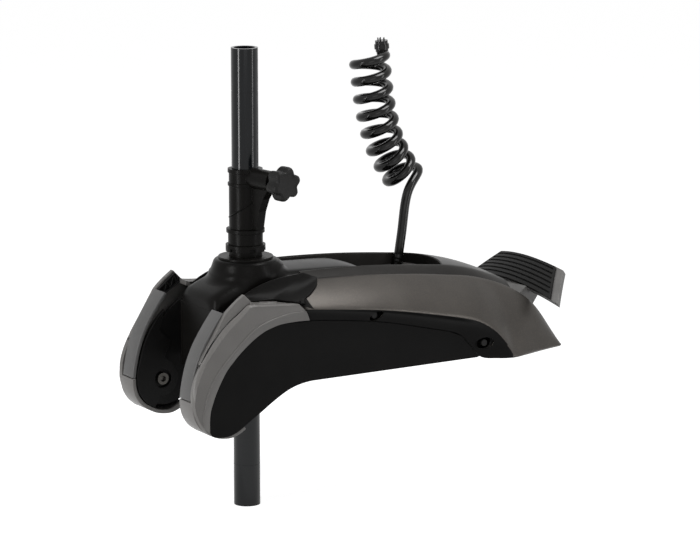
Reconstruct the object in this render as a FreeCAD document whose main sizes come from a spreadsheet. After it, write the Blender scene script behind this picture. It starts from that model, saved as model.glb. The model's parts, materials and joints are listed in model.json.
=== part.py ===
import FreeCAD, Part
import math
import os

from FreeCAD import Placement, Rotation, Vector

# Bow-mount trolling motor: the folding mount, its steering head and the section of
# shaft and curly cord that go through and out of it.
#
# Frame: +X is aft, +Y is starboard, +Z is up. The origin is the centre of the deck
# bolt pattern on the underside of the base plate. Outlines are written as (aft, up),
# with aft counted from the shaft axis and up from the deck.

PORT = -1
STARBOARD = 1
SIDE_NAMES = {PORT: "port", STARBOARD: "starboard"}

DIMENSIONS = (
    # alias, millimetres, what it measures
    ("shaft_offset", 180.0, "shaft axis to the centre of the deck bolts"),
    ("shaft_radius", 14.29, "outside radius of the 1 1/8 inch shaft"),
    ("shaft_wall", 3.0, "wall of the shaft tube"),
    ("shaft_low", 142.0, "lower end of the shaft section, below the deck"),
    ("shaft_high", 351.0, "upper end of the shaft section, above the deck"),
    ("shaft_grip", 45.0, "length of shaft at each end that another part grips"),
    ("running_fit", 0.06, "radial clearance of a turning or sliding fit"),
    ("plate_thick", 8.0, "base plate thickness"),
    ("plate_front", 52.0, "front edge of the base plate, aft of the shaft"),
    ("plate_rear", 340.0, "rear edge of the base plate, aft of the shaft"),
    ("bolt_pitch_x", 200.0, "deck bolt spacing along the boat"),
    ("bolt_pitch_y", 80.0, "deck bolt spacing across the boat"),
    ("bolt_hole_radius", 3.6, "deck bolt hole radius, for a quarter inch bolt"),
    ("frame_gap", 54.5, "half the gap between the side frames"),
    ("frame_thick", 5.0, "side frame thickness"),
    ("cheek_gap", 49.5, "half the gap between the cheek plates"),
    ("cheek_thick", 5.0, "cheek plate thickness"),
    ("head_sink", 3.6, "depth of the bolt heads' seat in the cheek plates"),
    ("pad_gap", 51.0, "half the gap between the rest pads"),
    ("pad_wide", 22.5, "width of a rest pad"),
    ("trim_wall", 4.0, "thickness of the cheek front wall and the rest pad"),
    ("hook_outer", 78.0, "outer face of the hook above the pad, from the middle"),
    ("trim_outer", 83.0, "outer face of the cheek trim, from the middle"),
    ("panel_inner", 76.0, "inner face of the side panel, from the middle"),
    ("panel_thick", 4.0, "side panel thickness"),
    ("cover_wall", 3.0, "wall of the moulded covers"),
    ("well_half", 40.0, "half width of the open well"),
    ("band_outer", 52.0, "outer edge of the smooth top band, from the middle"),
    ("well_rear", 231.0, "rear edge of the open well, aft of the shaft"),
    ("pivot_aft", 106.0, "stow pivot, aft of the shaft"),
    ("pivot_high", 55.0, "stow pivot, above the deck"),
    ("pivot_radius", 8.0, "radius of the pivot shaft"),
    ("pivot_tube_radius", 16.0, "outside radius of the casting's pivot tube"),
    ("pivot_tube_half", 39.0, "half length of the pivot tube"),
    ("bush_radius", 11.0, "outside radius of a pivot bush"),
    ("bush_flange", 2.0, "thickness of a bush flange"),
    ("head_half", 38.0, "half width of the steering head"),
    ("head_front", 60.0, "front of the steering head, ahead of the shaft"),
    ("head_rear", 44.0, "rear of the lower shell, aft of the shaft"),
    ("head_low", 12.0, "bottom of the steering head, above the deck"),
    ("head_split", 81.0, "parting line of the two head shells"),
    ("hood_rear", 127.0, "rear edge of the hood, aft of the shaft"),
    ("head_wall", 3.5, "wall of the head shells"),
    ("boss_top", 127.0, "top of the hood's boss, above the deck"),
    ("boss_radius", 34.0, "radius of the boss at its top"),
    ("boss_foot_radius", 39.0, "radius of the boss at its foot"),
    ("washer_radius", 29.0, "radius of the washer on the boss"),
    ("washer_thick", 2.4, "thickness of the washer on the boss"),
    ("hub_radius", 17.6, "outside radius of the steering hub"),
    ("hub_low", 13.0, "lower end of the steering hub"),
    ("hub_high", 142.0, "upper end of the steering hub"),
    ("bearing_radius", 24.0, "outside radius of a hub bearing"),
    ("bearing_high", 10.0, "height of a hub bearing"),
    ("casting_low", 20.0, "underside of the casting's hub tube"),
    ("casting_high", 79.0, "top of the casting's hub tube"),
    ("casting_radius", 27.0, "outside radius of the casting's hub tube"),
    ("gear_module", 1.25, "tooth size of the steering gears"),
    ("gear_teeth", 48.0, "teeth of the steering gear"),
    ("pinion_teeth", 16.0, "teeth of the motor pinion"),
    ("gear_low", 84.0, "underside of the steering gear"),
    ("gear_high", 8.0, "thickness of the steering gear"),
    ("motor_radius", 12.5, "radius of the steering motor"),
    ("motor_low", 22.0, "lower end of the steering motor"),
    ("lock_low", 135.0, "underside of the lock ring"),
    ("lock_radius", 21.2, "radius of the lock ring"),
    ("collar_high", 223.0, "top of the depth collar"),
    ("collar_radius", 17.3, "radius of the depth collar's tube"),
    ("knob_high", 214.0, "clamp knob axis, above the deck"),
    ("knob_turn", 10.0, "degrees the knob points aft of square to port"),
    ("knob_near", 52.0, "inner face of the knob, from the shaft axis"),
    ("knob_far", 70.0, "outer face of the knob, from the shaft axis"),
    ("knob_radius", 18.5, "radius of the knob over its lobes"),
    ("stud_radius", 4.0, "radius of the clamp stud"),
    ("shoe_radius", 6.0, "radius of the clamp shoe"),
    ("clamp_travel", 2.5, "travel of the clamp shoe in two turns"),
    ("tail_end", 360.0, "rear end of the tails of the side covers, aft of the shaft"),
    ("pedal_aft", 300.0, "pedal hinge, aft of the shaft"),
    ("pedal_high", 40.0, "pedal hinge, above the deck"),
    ("pedal_pin_radius", 4.0, "radius of the pedal hinge pin"),
    ("pedal_crown", 235.0, "crown radius across the pedal"),
    ("pedal_tilt", 35.0, "degrees the pedal rises aft"),
    ("pedal_thick", 5.0, "thickness of the pedal plate"),
    ("rod_high", 26.0, "pull rod axis, above the deck"),
    ("rod_radius", 2.5, "radius of the pull rod"),
    ("sector_radius", 30.0, "radius of the latch sector"),
    ("pawl_reach", 13.148, "pawl pivot, aft of its nose"),
    ("pawl_high", 18.0, "pawl pivot, above the deck"),
    ("shelf_low", 70.0, "underside of the shelf in the well"),
    ("shelf_thick", 4.0, "thickness of the shelf in the well"),
    ("cord_radius", 4.5, "radius of the curly cord's strand"),
    ("strand_reach", 16.5, "the strand's end, out from the coil's axis"),
    ("coil_radius", 23.2, "outside radius of the curly cord's coil"),
    ("seat_gap", 0.3, "clearance of a piece that rests on a stop"),
)

doc = FreeCAD.newDocument("TrollingMotor")
sheet = doc.addObject("Spreadsheet::Sheet", "Sizes")
for row, (alias, millimetres, note) in enumerate(DIMENSIONS, 1):
    sheet.set(f"A{row}", note)
    sheet.set(f"B{row}", str(millimetres))
    sheet.setAlias(f"B{row}", alias)
doc.recompute()


class Measures:
    """The sheet's cells as plain numbers."""


v = Measures()
for alias, millimetres, note in DIMENSIONS:
    setattr(v, alias, float(sheet.get(alias)))

NODES = []
UP = Vector(0, 0, 1)
AFT = Vector(1, 0, 0)
ACROSS = Vector(0, 1, 0)
CENTRE = Vector(0, 0, 0)


# Helpers ---------------------------------------------------------------------------


def at(aft, across, up):
    """A point given from the shaft axis, the middle and the deck."""
    return Vector(aft - v.shaft_offset, across, up)


def node(thing):
    """Count a finished piece."""
    NODES.append(thing)
    return thing


def solid(label, shape):
    """A piece whose shape is worked out here."""
    thing = doc.addObject("Part::Feature", label)
    thing.Shape = shape
    return node(thing)


def outline(*runs):
    """Closed outline of (aft, up) runs: two points are a line, more a smooth curve."""
    edges = []
    for run in runs:
        points = [Vector(aft - v.shaft_offset, up, 0) for aft, up in run]
        if len(points) == 2:
            edges.append(Part.LineSegment(points[0], points[1]))
            continue
        curve = Part.BSplineCurve()
        curve.interpolate(points)
        edges.append(curve)
    return edges


def polygon(*points):
    """Closed outline of straight runs."""
    ring = list(points) + [points[0]]
    return outline(*zip(ring, ring[1:]))


def prism(edges, low, high):
    """Solid of a side outline between two places across the boat."""
    face = Part.Face(Part.Wire([edge.toShape() for edge in edges]))
    face.rotate(CENTRE, AFT, 90)
    face.translate(Vector(0, low, 0))
    return face.extrude(Vector(0, high - low, 0))


def sided(side, near, far):
    """The two places across the boat of a piece from near to far on one side."""
    return min(side * near, side * far), max(side * near, side * far)


def side_prism(edges, side, near, far):
    """Solid of a side outline on one side of the boat."""
    return prism(edges, *sided(side, near, far))


def block(aft_span, across_span, up_span):
    """Box between pairs of places."""
    corner = at(aft_span[0], across_span[0], up_span[0])
    size = [span[1] - span[0] for span in (aft_span, across_span, up_span)]
    return Part.makeBox(size[0], size[1], size[2], corner)


def rod(radius, start, end):
    """Round bar between two points."""
    return Part.makeCylinder(radius, (end - start).Length, start, end - start)


def upright(radius, low, high, aft=0.0, across=0.0):
    """Upright round bar."""
    return rod(radius, at(aft, across, low), at(aft, across, high))


def crossways(radius, low, high, aft, up):
    """Round bar across the boat."""
    return rod(radius, at(aft, low, up), at(aft, high, up))


def joined(first, *others):
    """One solid of several that touch."""
    return first.fuse(list(others)).removeSplitter()


def moved_inwards(points, distance):
    """The points of an open outline, moved to the left of its direction."""
    moved = []
    for index, (aft, up) in enumerate(points):
        before = points[max(index - 1, 0)]
        after = points[min(index + 1, len(points) - 1)]
        run = (after[0] - before[0], after[1] - before[1])
        length = math.hypot(*run)
        moved.append((aft - run[1] / length * distance, up + run[0] / length * distance))
    return moved


def origin_plane(body, role):
    """One of a body's own planes."""
    return [plane for plane in body.Origin.OriginFeatures if plane.Role == role][0]


def sketch_on(body, role, edges):
    """Sketch of the given edges on one of a body's planes."""
    sketch = body.newObject("Sketcher::SketchObject", body.Label + "_sketch")
    sketch.AttachmentSupport = [(origin_plane(body, role), "")]
    sketch.MapMode = "FlatFace"
    for edge in edges:
        sketch.addGeometry(edge, False)
    return sketch


def side_slab(label, side, near, thick, edges):
    """Flat piece on one side: near and thick are cells of the sheet."""
    body = doc.addObject("PartDesign::Body", label)
    sketch = sketch_on(body, "XZ_Plane", edges)
    offset = f"Sizes.{near}" if side == PORT else f"-(Sizes.{near} + Sizes.{thick})"
    sketch.setExpression("AttachmentOffset.Base.z", offset)
    pad = body.newObject("PartDesign::Pad", label + "_pad")
    pad.Profile = sketch
    pad.setExpression("Length", f"Sizes.{thick}")
    body.Tip = pad
    return node(body)


def turned(label, profile):
    """Piece turned about the shaft axis from closed (radius, up) points."""
    body = doc.addObject("PartDesign::Body", label)
    ring = [Vector(radius, up, 0) for radius, up in profile]
    edges = [Part.LineSegment(a, b) for a, b in zip(ring, ring[1:] + ring[:1])]
    sketch = sketch_on(body, "XZ_Plane", edges)
    turn = body.newObject("PartDesign::Revolution", label + "_turn")
    turn.Profile = sketch
    turn.ReferenceAxis = (sketch, ["V_Axis"])
    turn.Angle = 360
    body.Tip = turn
    body.setExpression("Placement.Base.x", "-Sizes.shaft_offset")
    return node(body)


def cylinder(label, radius, length, base, turn=Rotation()):
    """Round primitive whose radius and length are formulas of the sheet."""
    thing = doc.addObject("Part::Cylinder", label)
    thing.setExpression("Radius", radius)
    thing.setExpression("Height", length)
    thing.Placement = Placement(base, turn)
    return thing


def ring_piece(label, inner, outer, length, base, turn=Rotation()):
    """Ring whose radii and length are formulas of the sheet."""
    cut = doc.addObject("Part::Cut", label)
    cut.Base = cylinder(label + "_outside", outer, length, base, turn)
    cut.Tool = cylinder(label + "_bore", inner, length, base, turn)
    return node(cut)


# Base: plate, side frames and cheeks -------------------------------------------------

# Front of a cheek from the top down: the hook, the stretch under the pad, the lower wall.
CHEEK_HOOK = [(-47.5, 105.6), (-58.0, 98.2), (-69.5, 88.5)]
CHEEK_PAD = [
    (-69.5, 88.5), (-77.5, 79.0), (-86.0, 67.0), (-94.0, 54.0), (-100.0, 41.0), (-105.0, 26.0),
    (-108.5, 10.0), (-110.0, -2.0),
]
CHEEK_LOWER = [
    (-110.0, -2.0), (-109.3, -12.0), (-106.0, -22.5), (-98.5, -32.5), (-86.0, -40.5),
    (-75.0, -44.0), (-63.0, -44.5), (-53.0, -41.0),
]
CHEEK_FRONT = CHEEK_HOOK[:-1] + CHEEK_PAD + CHEEK_LOWER[1:]
PANEL_FRONT = [
    (6.2, 69.9), (-6.0, 69.4), (-17.9, 66.5), (-32.1, 61.0), (-45.0, 53.2), (-60.9, 39.5),
    (-72.9, 24.2), (-83.3, 5.7), (-88.6, -12.1), (-89.7, -34.9),
]
PANEL_BELLY = [
    (-89.7, -34.9), (-86.1, -40.3), (-78.6, -42.2), (-66.7, -42.2), (-56.3, -38.6), (-42.3, -29.7),
    (-30.2, -22.4), (-18.0, -14.4), (-5.8, -7.0), (6.4, -0.9), (18.6, 2.8), (34.6, 4.8),
]
PANEL_TAIL = (243.5, 5.0)
PANEL_SHOULDER = (29.9, 69.1)
FRAME_EDGE = [
    (-40.0, 82.0), (-58.0, 72.0), (-74.0, 56.0), (-86.0, 38.0), (-94.0, 18.0), (-98.0, 0.0),
    (-95.0, -18.0), (-84.0, -31.0), (-66.0, -35.0), (-50.0, -30.0), (-28.0, -16.0), (0.0, -1.0),
    (28.0, 5.0),
]
FRAME_TOP = [
    (60.0, 90.0), (150.0, 88.0), (210.0, 78.0), (262.0, 64.0), (300.0, 50.0),
]
CHEEK_BOLT = (-74.0, -5.5)
BOSS_BORE = 4.0


def circle(aft, up, radius):
    """Round hole of a side outline."""
    return Part.Circle(Vector(aft - v.shaft_offset, up, 0), Vector(0, 0, 1), radius)


def base_plate():
    """Deck plate with four bolt holes, between the side frames."""
    body = doc.addObject("PartDesign::Body", "base_plate")
    left = v.plate_front - v.shaft_offset
    right = v.plate_rear - v.shaft_offset
    corners = [
        Vector(left, -v.frame_gap, 0), Vector(right, -v.frame_gap, 0),
        Vector(right, v.frame_gap, 0), Vector(left, v.frame_gap, 0),
    ]
    edges = [Part.LineSegment(a, b) for a, b in zip(corners, corners[1:] + corners[:1])]
    for end in (-1, 1):
        for side in (PORT, STARBOARD):
            spot = Vector(end * v.bolt_pitch_x / 2, side * v.bolt_pitch_y / 2, 0)
            edges.append(Part.Circle(spot, UP, v.bolt_hole_radius))
    sketch = sketch_on(body, "XY_Plane", edges)
    pad = body.newObject("PartDesign::Pad", "base_plate_pad")
    pad.Profile = sketch
    pad.setExpression("Length", "Sizes.plate_thick")
    body.Tip = pad
    node(body)


def side_frame(side):
    """Side plate that carries the stow pivot, the pedal hinge and the cheek."""
    rear = (v.plate_rear - 2.0, 12.0)
    foot = (v.plate_rear - 2.0, 0.0)
    edges = outline(
        FRAME_EDGE,
        (FRAME_EDGE[-1], (v.plate_front, 0.0)),
        ((v.plate_front, 0.0), foot),
        (foot, rear),
        (rear, FRAME_TOP[-1]),
        FRAME_TOP[::-1],
        (FRAME_TOP[0], FRAME_EDGE[0]),
    )
    edges.append(circle(v.pivot_aft, v.pivot_high, v.pivot_radius))
    edges.append(circle(v.pedal_aft, v.pedal_high, v.pedal_pin_radius))
    edges.append(circle(*CHEEK_BOLT, BOSS_BORE))
    side_slab(f"{SIDE_NAMES[side]}_side_frame", side, "frame_gap", "frame_thick", edges)


def behind_front(stretch, distance):
    """A stretch of the cheek's front, moved inwards."""
    moved = dict(zip(CHEEK_FRONT, moved_inwards(CHEEK_FRONT, distance)))
    return [moved[point] for point in stretch]


def cheek_plate(side):
    """Stepped inner plate of a cheek, with the counterbored boss of its bolt."""
    slot_edge = [(-70.9, 69.3), (-78.6, 62.6), (-86.3, 52.6), (-92.4, 42.5), (-97.1, 32.1), (-99.9, 22.0)]
    front = behind_front(CHEEK_PAD[-2:] + CHEEK_LOWER[1:5], v.trim_wall + 1.0)
    edges = outline(
        slot_edge,
        (slot_edge[-1], front[0]),
        front,
        (front[-1], (-78.0, -23.0)),
        [(-78.0, -23.0), (-62.0, -19.0), (-56.5, -5.0), (-61.0, 8.0), (-72.0, 18.0)],
        ((-72.0, 18.0), (-64.9, 35.5)),
        ((-64.9, 35.5), (-78.2, 48.0)),
        ((-78.2, 48.0), slot_edge[0]),
    )
    plate = side_prism(edges, side, v.cheek_gap, v.cheek_gap + v.cheek_thick)
    low, high = sided(side, v.cheek_gap - 1.0, v.cheek_gap + v.head_sink)
    pocket = crossways(10.0, low, high, *CHEEK_BOLT)
    low, high = sided(side, v.cheek_gap - 1.0, v.cheek_gap + v.cheek_thick + 1.0)
    bore = crossways(BOSS_BORE, low, high, *CHEEK_BOLT)
    solid(f"{SIDE_NAMES[side]}_cheek_plate", plate.cut([pocket, bore]))


def cheek_bolts():
    """Socket head bolts that hold the cheek plates to the side frames."""
    head_radius = 6.5
    seat = v.cheek_gap + v.head_sink
    head_inner = seat - 4.0
    nut_start = v.frame_gap + v.frame_thick
    bolts = []
    for side in (PORT, STARBOARD):
        head = crossways(head_radius, *sided(side, head_inner, seat), *CHEEK_BOLT)
        shank = crossways(BOSS_BORE, *sided(side, seat, nut_start + 7.0), *CHEEK_BOLT)
        nut = crossways(7.0, *sided(side, nut_start, nut_start + 5.5), *CHEEK_BOLT)
        socket = crossways(3.2, *sided(side, head_inner - 1.0, head_inner + 3.0), *CHEEK_BOLT)
        bolts.append(joined(head, shank, nut).cut(socket))
    solid("cheek_bolts", Part.makeCompound(bolts))


# Cheek trim, rest pads and side panels ------------------------------------------------

TRIM_EDGE = [
    (-42.3, 95.4), (-55.0, 85.6), (-66.9, 76.9), (-77.4, 65.6), (-86.4, 52.8), (-93.9, 41.8),
    (-99.9, 30.7), (-105.1, 19.4), (-108.6, 9.0), (-109.2, -2.0), (-107.4, -11.5), (-103.6, -20.5),
    (-98.4, -28.5), (-90.2, -37.4),
]
TRIM_TOP = [(15.6, 88.8), (-9.4, 89.3), (-28.4, 91.8), (-42.3, 95.4)]
TRIM_HEEL = (29.9, 69.9)
# Plan of the corner left for the end band: aft and across.
TRIM_CORNER = ((-2.0, 55.0), (-2.0, 60.3), (15.6, 80.4), (17.0, 86.0), (40.0, 86.0), (40.0, 55.0))


def cheek_wall(side, front, near, far):
    """Stretch of the cheek's front wall."""
    back = behind_front(front, v.trim_wall)
    edges = outline(front, (front[-1], back[-1]), back[::-1], (back[0], front[0]))
    return side_prism(edges, side, near, far)


def cheek_trim(side):
    """Moulded gray trim: outer shell, lower front wall and the hook above the pad."""
    pad_outer = v.pad_gap + v.pad_wide
    web_outer = pad_outer + 1.0
    shell = side_prism(
        outline(
            TRIM_EDGE,
            (TRIM_EDGE[-1], PANEL_FRONT[-1]),
            PANEL_FRONT[::-1],
            (PANEL_FRONT[0], TRIM_HEEL),
            (TRIM_HEEL, TRIM_TOP[0]),
            TRIM_TOP,
        ),
        side, web_outer, v.trim_outer,
    )
    behind_pad = CHEEK_HOOK[1:] + CHEEK_PAD[1:] + CHEEK_LOWER[1:6]
    inner_front = behind_front(behind_pad, v.trim_wall + v.seat_gap)
    inner_back = behind_front(behind_pad, v.trim_wall + 11.0)
    web = side_prism(
        outline(
            inner_front, (inner_front[-1], inner_back[-1]),
            inner_back[::-1], (inner_back[0], inner_front[0]),
        ),
        side, pad_outer - 4.0, web_outer,
    )
    lower = cheek_wall(side, CHEEK_LOWER, v.pad_gap, v.panel_inner)
    nose = cheek_wall(side, CHEEK_LOWER[:4], v.panel_inner, v.trim_outer - 2.0)
    hook_top = CHEEK_HOOK[0]
    hook_rear = [(-38.0, 91.0), (-38.3, 95.2), (-42.6, 99.6), hook_top]
    hook = side_prism(
        outline(
            CHEEK_HOOK, (CHEEK_HOOK[-1], (-62.0, 84.0)), ((-62.0, 84.0), hook_rear[0]), hook_rear,
        ),
        side, pad_outer - 4.0, v.hook_outer,
    )
    top_end = TRIM_TOP[0]
    top_low = (top_end[0], top_end[1] - 4.0)
    top = side_prism(
        outline(
            TRIM_TOP[::-1], (top_end, top_low),
            (top_low, (-32.0, 87.6)),
            ((-32.0, 87.6), TRIM_TOP[-1]),
        ),
        side, v.frame_gap + v.frame_thick + 1.0, web_outer,
    )
    corners = [at(aft, side * across, 84.0) for aft, across in TRIM_CORNER]
    wedge = Part.Face(Part.makePolygon(corners + corners[:1])).extrude(UP * 20.0)
    solid(f"{SIDE_NAMES[side]}_cheek_trim", joined(shell, web, lower, nose, hook, top).cut(wedge))


def rest_pad(side):
    """Gray pad on the cheek's front, where the stowed lower unit lies."""
    back = behind_front(CHEEK_PAD, v.trim_wall)
    edges = outline(CHEEK_PAD, (CHEEK_PAD[-1], back[-1]), back[::-1], (back[0], CHEEK_PAD[0]))
    side_slab(f"{SIDE_NAMES[side]}_rest_pad", side, "pad_gap", "pad_wide", edges)


def side_panel(side):
    """Flat black panel on the side of the mount, its top edge along the cover's foot."""
    foot_line = track(COVER_FOOT)
    crest = [PANEL_TAIL]
    for aft in reversed(cover_stations()):
        if PANEL_SHOULDER[0] < aft < PANEL_TAIL[0]:
            crest.append((aft, foot_line(aft)[1] - v.seat_gap))
    crest += [PANEL_SHOULDER, PANEL_FRONT[0]]
    edges = outline(PANEL_FRONT, PANEL_BELLY, (PANEL_BELLY[-1], PANEL_TAIL), *zip(crest, crest[1:]))
    face = side_prism(edges, side, v.panel_inner, v.panel_inner + v.panel_thick)
    frame_outside = v.frame_gap + v.frame_thick
    posts = []
    for aft, up in ((-30.0, 20.0), (60.0, 35.0), (165.0, 22.0)):
        posts.append(crossways(6.0, *sided(side, frame_outside, v.panel_inner), aft, up))
    solid(f"{SIDE_NAMES[side]}_side_panel", joined(face, *posts))


# Covers -------------------------------------------------------------------------------

# Lines of the side cover as (aft, across, up): its crest along the top cover, its lower
# edge over the cove, and the foot of the cove on the panel.



def tail(share, across, up):
    """Point of the tail, a share of the way back from the pedal's hinge to its end."""
    return v.pedal_aft + (v.tail_end - v.pedal_aft) * share, across, up


COVER_CREST = [
    (10.0, 52.0, 107.9), (60.0, 52.0, 107.0), (120.0, 52.0, 104.6), (178.0, 52.0, 99.4), (217.0, 52.0, 94.4),
    (250.0, 52.0, 89.4), (278.0, 52.0, 81.6), tail(0.0, 52.6, 72.6), tail(0.27, 54.6, 63.0),
    tail(0.48, 58.0, 52.5), tail(0.64, 61.0, 40.0), tail(0.83, 65.5, 21.0), tail(1.0, 69.5, 5.0),
]
COVER_EDGE = [
    (6.5, 82.0, 84.3), (41.0, 83.8, 81.0), (117.5, 88.0, 72.3), (176.0, 91.2, 61.9),
    (215.4, 93.6, 50.8), (235.6, 94.9, 41.1), (255.8, 96.4, 25.1), (268.9, 97.2, 13.4),
    (281.0, 97.2, 4.8), tail(0.0, 92.4, 4.6), tail(0.5, 82.7, 4.3), tail(1.0, 73.8, 4.1),
]
COVER_FOOT = [
    (7.1, 79.3, 70.6), (43.1, 79.3, 68.5), (83.1, 79.3, 63.7), (123.1, 79.3, 57.4),
    (163.1, 79.3, 48.4), (200.1, 79.3, 39.3), (218.6, 79.3, 33.3), (233.2, 79.5, 19.9),
    (245.8, 81.1, 5.5), (262.4, 89.1, 3.2), (281.0, 94.0, 2.6), tail(0.0, 89.4, 2.6),
    tail(0.5, 79.7, 2.5), tail(1.0, 71.8, 2.5),
]
COVER_BULGE = 0.16
COVER_SPAN = (12.0, v.tail_end - 2.0)
COVER_SECTIONS = 24
# The front end of the side cover, under the end band, and the front of the band.
BAND_REAR = [(17.7, 89.4), (26.7, 91.1), (38.2, 95.1), (50.8, 101.5), (59.0, 109.0)]
BAND_FRONT = [(-0.4, 95.1), (11.0, 100.3), (22.5, 104.3), (32.4, 108.7), (41.0, 117.0)]
SCREW_SEATS = ((112.8, 65.6, 77.0), (249.0, 21.1, 84.0))
SCREW_HEAD = 3.6


def track(points):
    """Smooth line through (aft, across, up) points, as a function of aft."""
    curve = Part.BSplineCurve()
    curve.interpolate([Vector(*point) for point in points])

    def place(aft):
        low = curve.FirstParameter
        high = curve.LastParameter
        for halving in range(40):
            middle = (low + high) / 2
            if curve.value(middle).x < aft:
                low = middle
            else:
                high = middle
        spot = curve.value(low)
        return spot.y, spot.z

    return place


def cover_stations():
    """Evenly spaced places along the side cover."""
    step = (COVER_SPAN[1] - COVER_SPAN[0]) / (COVER_SECTIONS - 1)
    return [COVER_SPAN[0] + step * index for index in range(COVER_SECTIONS)]


def arch_wires(side, inner_corner):
    """Sections of the side cover; inner_corner closes each one behind its face."""
    crest_line = track(COVER_CREST)
    edge_line = track(COVER_EDGE)
    foot_line = track(COVER_FOOT)
    wires = []
    for aft in cover_stations():
        crest = crest_line(aft)
        edge = edge_line(aft)
        foot = foot_line(aft)
        reach = (edge[0] - crest[0], crest[1] - edge[1])
        bulged = (
            (crest[0] + edge[0]) / 2 + reach[1] * COVER_BULGE,
            (crest[1] + edge[1]) / 2 + reach[0] * COVER_BULGE,
        )

        def spot(point):
            return at(aft, side * point[0], point[1])

        face = [
            Part.Arc(spot(crest), spot(bulged), spot(edge)).toShape(),
            Part.LineSegment(spot(edge), spot(foot)).toShape(),
        ]
        wires.append(Part.Wire(face + inner_corner(spot, crest, bulged, edge, foot)))
    return wires


def walled(spot, crest, bulged, edge, foot):
    """Inside of the cover's wall, from the foot back to the crest."""
    wall = v.cover_wall
    crest_in = (crest[0] + 0.3, crest[1] - wall)
    edge_in = (edge[0] - wall, edge[1] - 0.4)
    bulge_in = (bulged[0] - wall * 0.75, bulged[1] - wall * 0.75)
    foot_in = (foot[0] - wall, foot[1])
    return [
        Part.LineSegment(spot(foot), spot(foot_in)).toShape(),
        Part.LineSegment(spot(foot_in), spot(edge_in)).toShape(),
        Part.Arc(spot(edge_in), spot(bulge_in), spot(crest_in)).toShape(),
        Part.LineSegment(spot(crest_in), spot(crest)).toShape(),
    ]


def filled(spot, crest, bulged, edge, foot):
    """Everything behind the cover's face, in as far as the side frame."""
    frame_outside = v.frame_gap
    return [
        Part.LineSegment(spot(foot), spot((frame_outside, foot[1]))).toShape(),
        Part.LineSegment(spot((frame_outside, foot[1])), spot((crest[0] - 3.0, crest[1]))).toShape(),
        Part.LineSegment(spot((crest[0] - 3.0, crest[1])), spot(crest)).toShape(),
    ]


def side_cover(side):
    """Arched side cover with the cove over the panel and a tail down to the deck."""
    shell = Part.makeLoft(arch_wires(side, walled), True, True)
    heel = (TRIM_HEEL[0] + 0.9, TRIM_HEEL[1] + 0.5)
    nose = outline(
        (heel, BAND_REAR[0]), BAND_REAR, (BAND_REAR[-1], (59.0, 130.0)),
        ((59.0, 130.0), (-10.0, 130.0)), ((-10.0, 130.0), (-10.0, 40.0)),
        ((-10.0, 40.0), (heel[0], 40.0)), ((heel[0], 40.0), heel),
    )
    envelope = Part.makeLoft(arch_wires(side, filled), True, True)
    cups = []
    recesses = []
    for aft, up, reach in SCREW_SEATS:
        low, high = sided(side, v.frame_gap + v.frame_thick + 3.5, 100.0)
        cups.append(crossways(SCREW_HEAD + 2.0, low, high, aft, up).common(envelope))
        recesses.append(crossways(SCREW_HEAD + 0.6, *sided(side, reach - 2.5, 110.0), aft, up))
        recesses.append(crossways(2.0, *sided(side, 50.0, 110.0), aft, up))
    shell = joined(shell.cut(side_prism(nose, side, 40.0, 110.0)), *cups)
    solid(f"{SIDE_NAMES[side]}_side_cover", shell.cut(recesses))


def cover_screws():
    """Pan head screws in the two recesses of each cove."""
    screws = []
    for side in (PORT, STARBOARD):
        for aft, up, reach in SCREW_SEATS:
            head = crossways(SCREW_HEAD, *sided(side, reach - 2.5, reach), aft, up)
            shank = crossways(2.0, *sided(side, v.frame_gap + v.frame_thick, reach - 2.5), aft, up)
            screws.append(joined(head, shank))
    solid("cover_screws", Part.makeCompound(screws))


# Stations of the top cover: aft, up at the middle, at the well's edge and at the rim.
TOP_STATIONS = (
    (44.0, 116.0, 114.6, 107.6),
    (75.0, 115.8, 114.2, 106.9),
    (106.0, 115.0, 113.0, 105.4),
    (137.0, 113.4, 111.2, 103.5),
    (168.0, 111.2, 108.6, 100.6),
    (199.0, 108.4, 105.4, 97.0),
    (230.0, 104.8, 101.6, 92.7),
    (258.0, 98.8, 95.4, 87.6),
    (282.0, 90.6, 87.2, 80.0),
    (304.0, 81.0, 78.0, 71.0),
)
LINER_WALL = 2.5


def top_wire(aft, middle, shoulder, rim, depth):
    """Closed section of the top cover's skin, or of more under it."""
    half = v.well_half
    outer = v.band_outer - v.seat_gap

    def spot(across, up):
        return at(aft, across, up)

    edges = (
        Part.LineSegment(spot(-outer, rim), spot(-half, shoulder)),
        Part.Arc(spot(-half, shoulder), spot(0, middle), spot(half, shoulder)),
        Part.LineSegment(spot(half, shoulder), spot(outer, rim)),
        Part.LineSegment(spot(outer, rim), spot(outer, rim - depth)),
        Part.LineSegment(spot(outer, rim - depth), spot(half, shoulder - depth)),
        Part.Arc(spot(half, shoulder - depth), spot(0, middle - depth), spot(-half, shoulder - depth)),
        Part.LineSegment(spot(-half, shoulder - depth), spot(-outer, rim - depth)),
        Part.LineSegment(spot(-outer, rim - depth), spot(-outer, rim)),
    )
    return Part.Wire([edge.toShape() for edge in edges])


def well_shape(grown, low, high):
    """Solid that fills the open well, with a bowed rear end."""
    start = -20.0
    bow = 8.0
    half = v.well_half + grown
    rear = v.well_rear + grown
    points = [at(start, -half, low), at(rear - bow, -half, low), at(rear + 2.0, 0, low)]
    points += [at(rear - bow, half, low), at(start, half, low)]
    edges = (
        Part.LineSegment(points[0], points[1]),
        Part.Arc(points[1], points[2], points[3]),
        Part.LineSegment(points[3], points[4]),
        Part.LineSegment(points[4], points[0]),
    )
    return Part.Face(Part.Wire([edge.toShape() for edge in edges])).extrude(Vector(0, 0, high - low))


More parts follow.
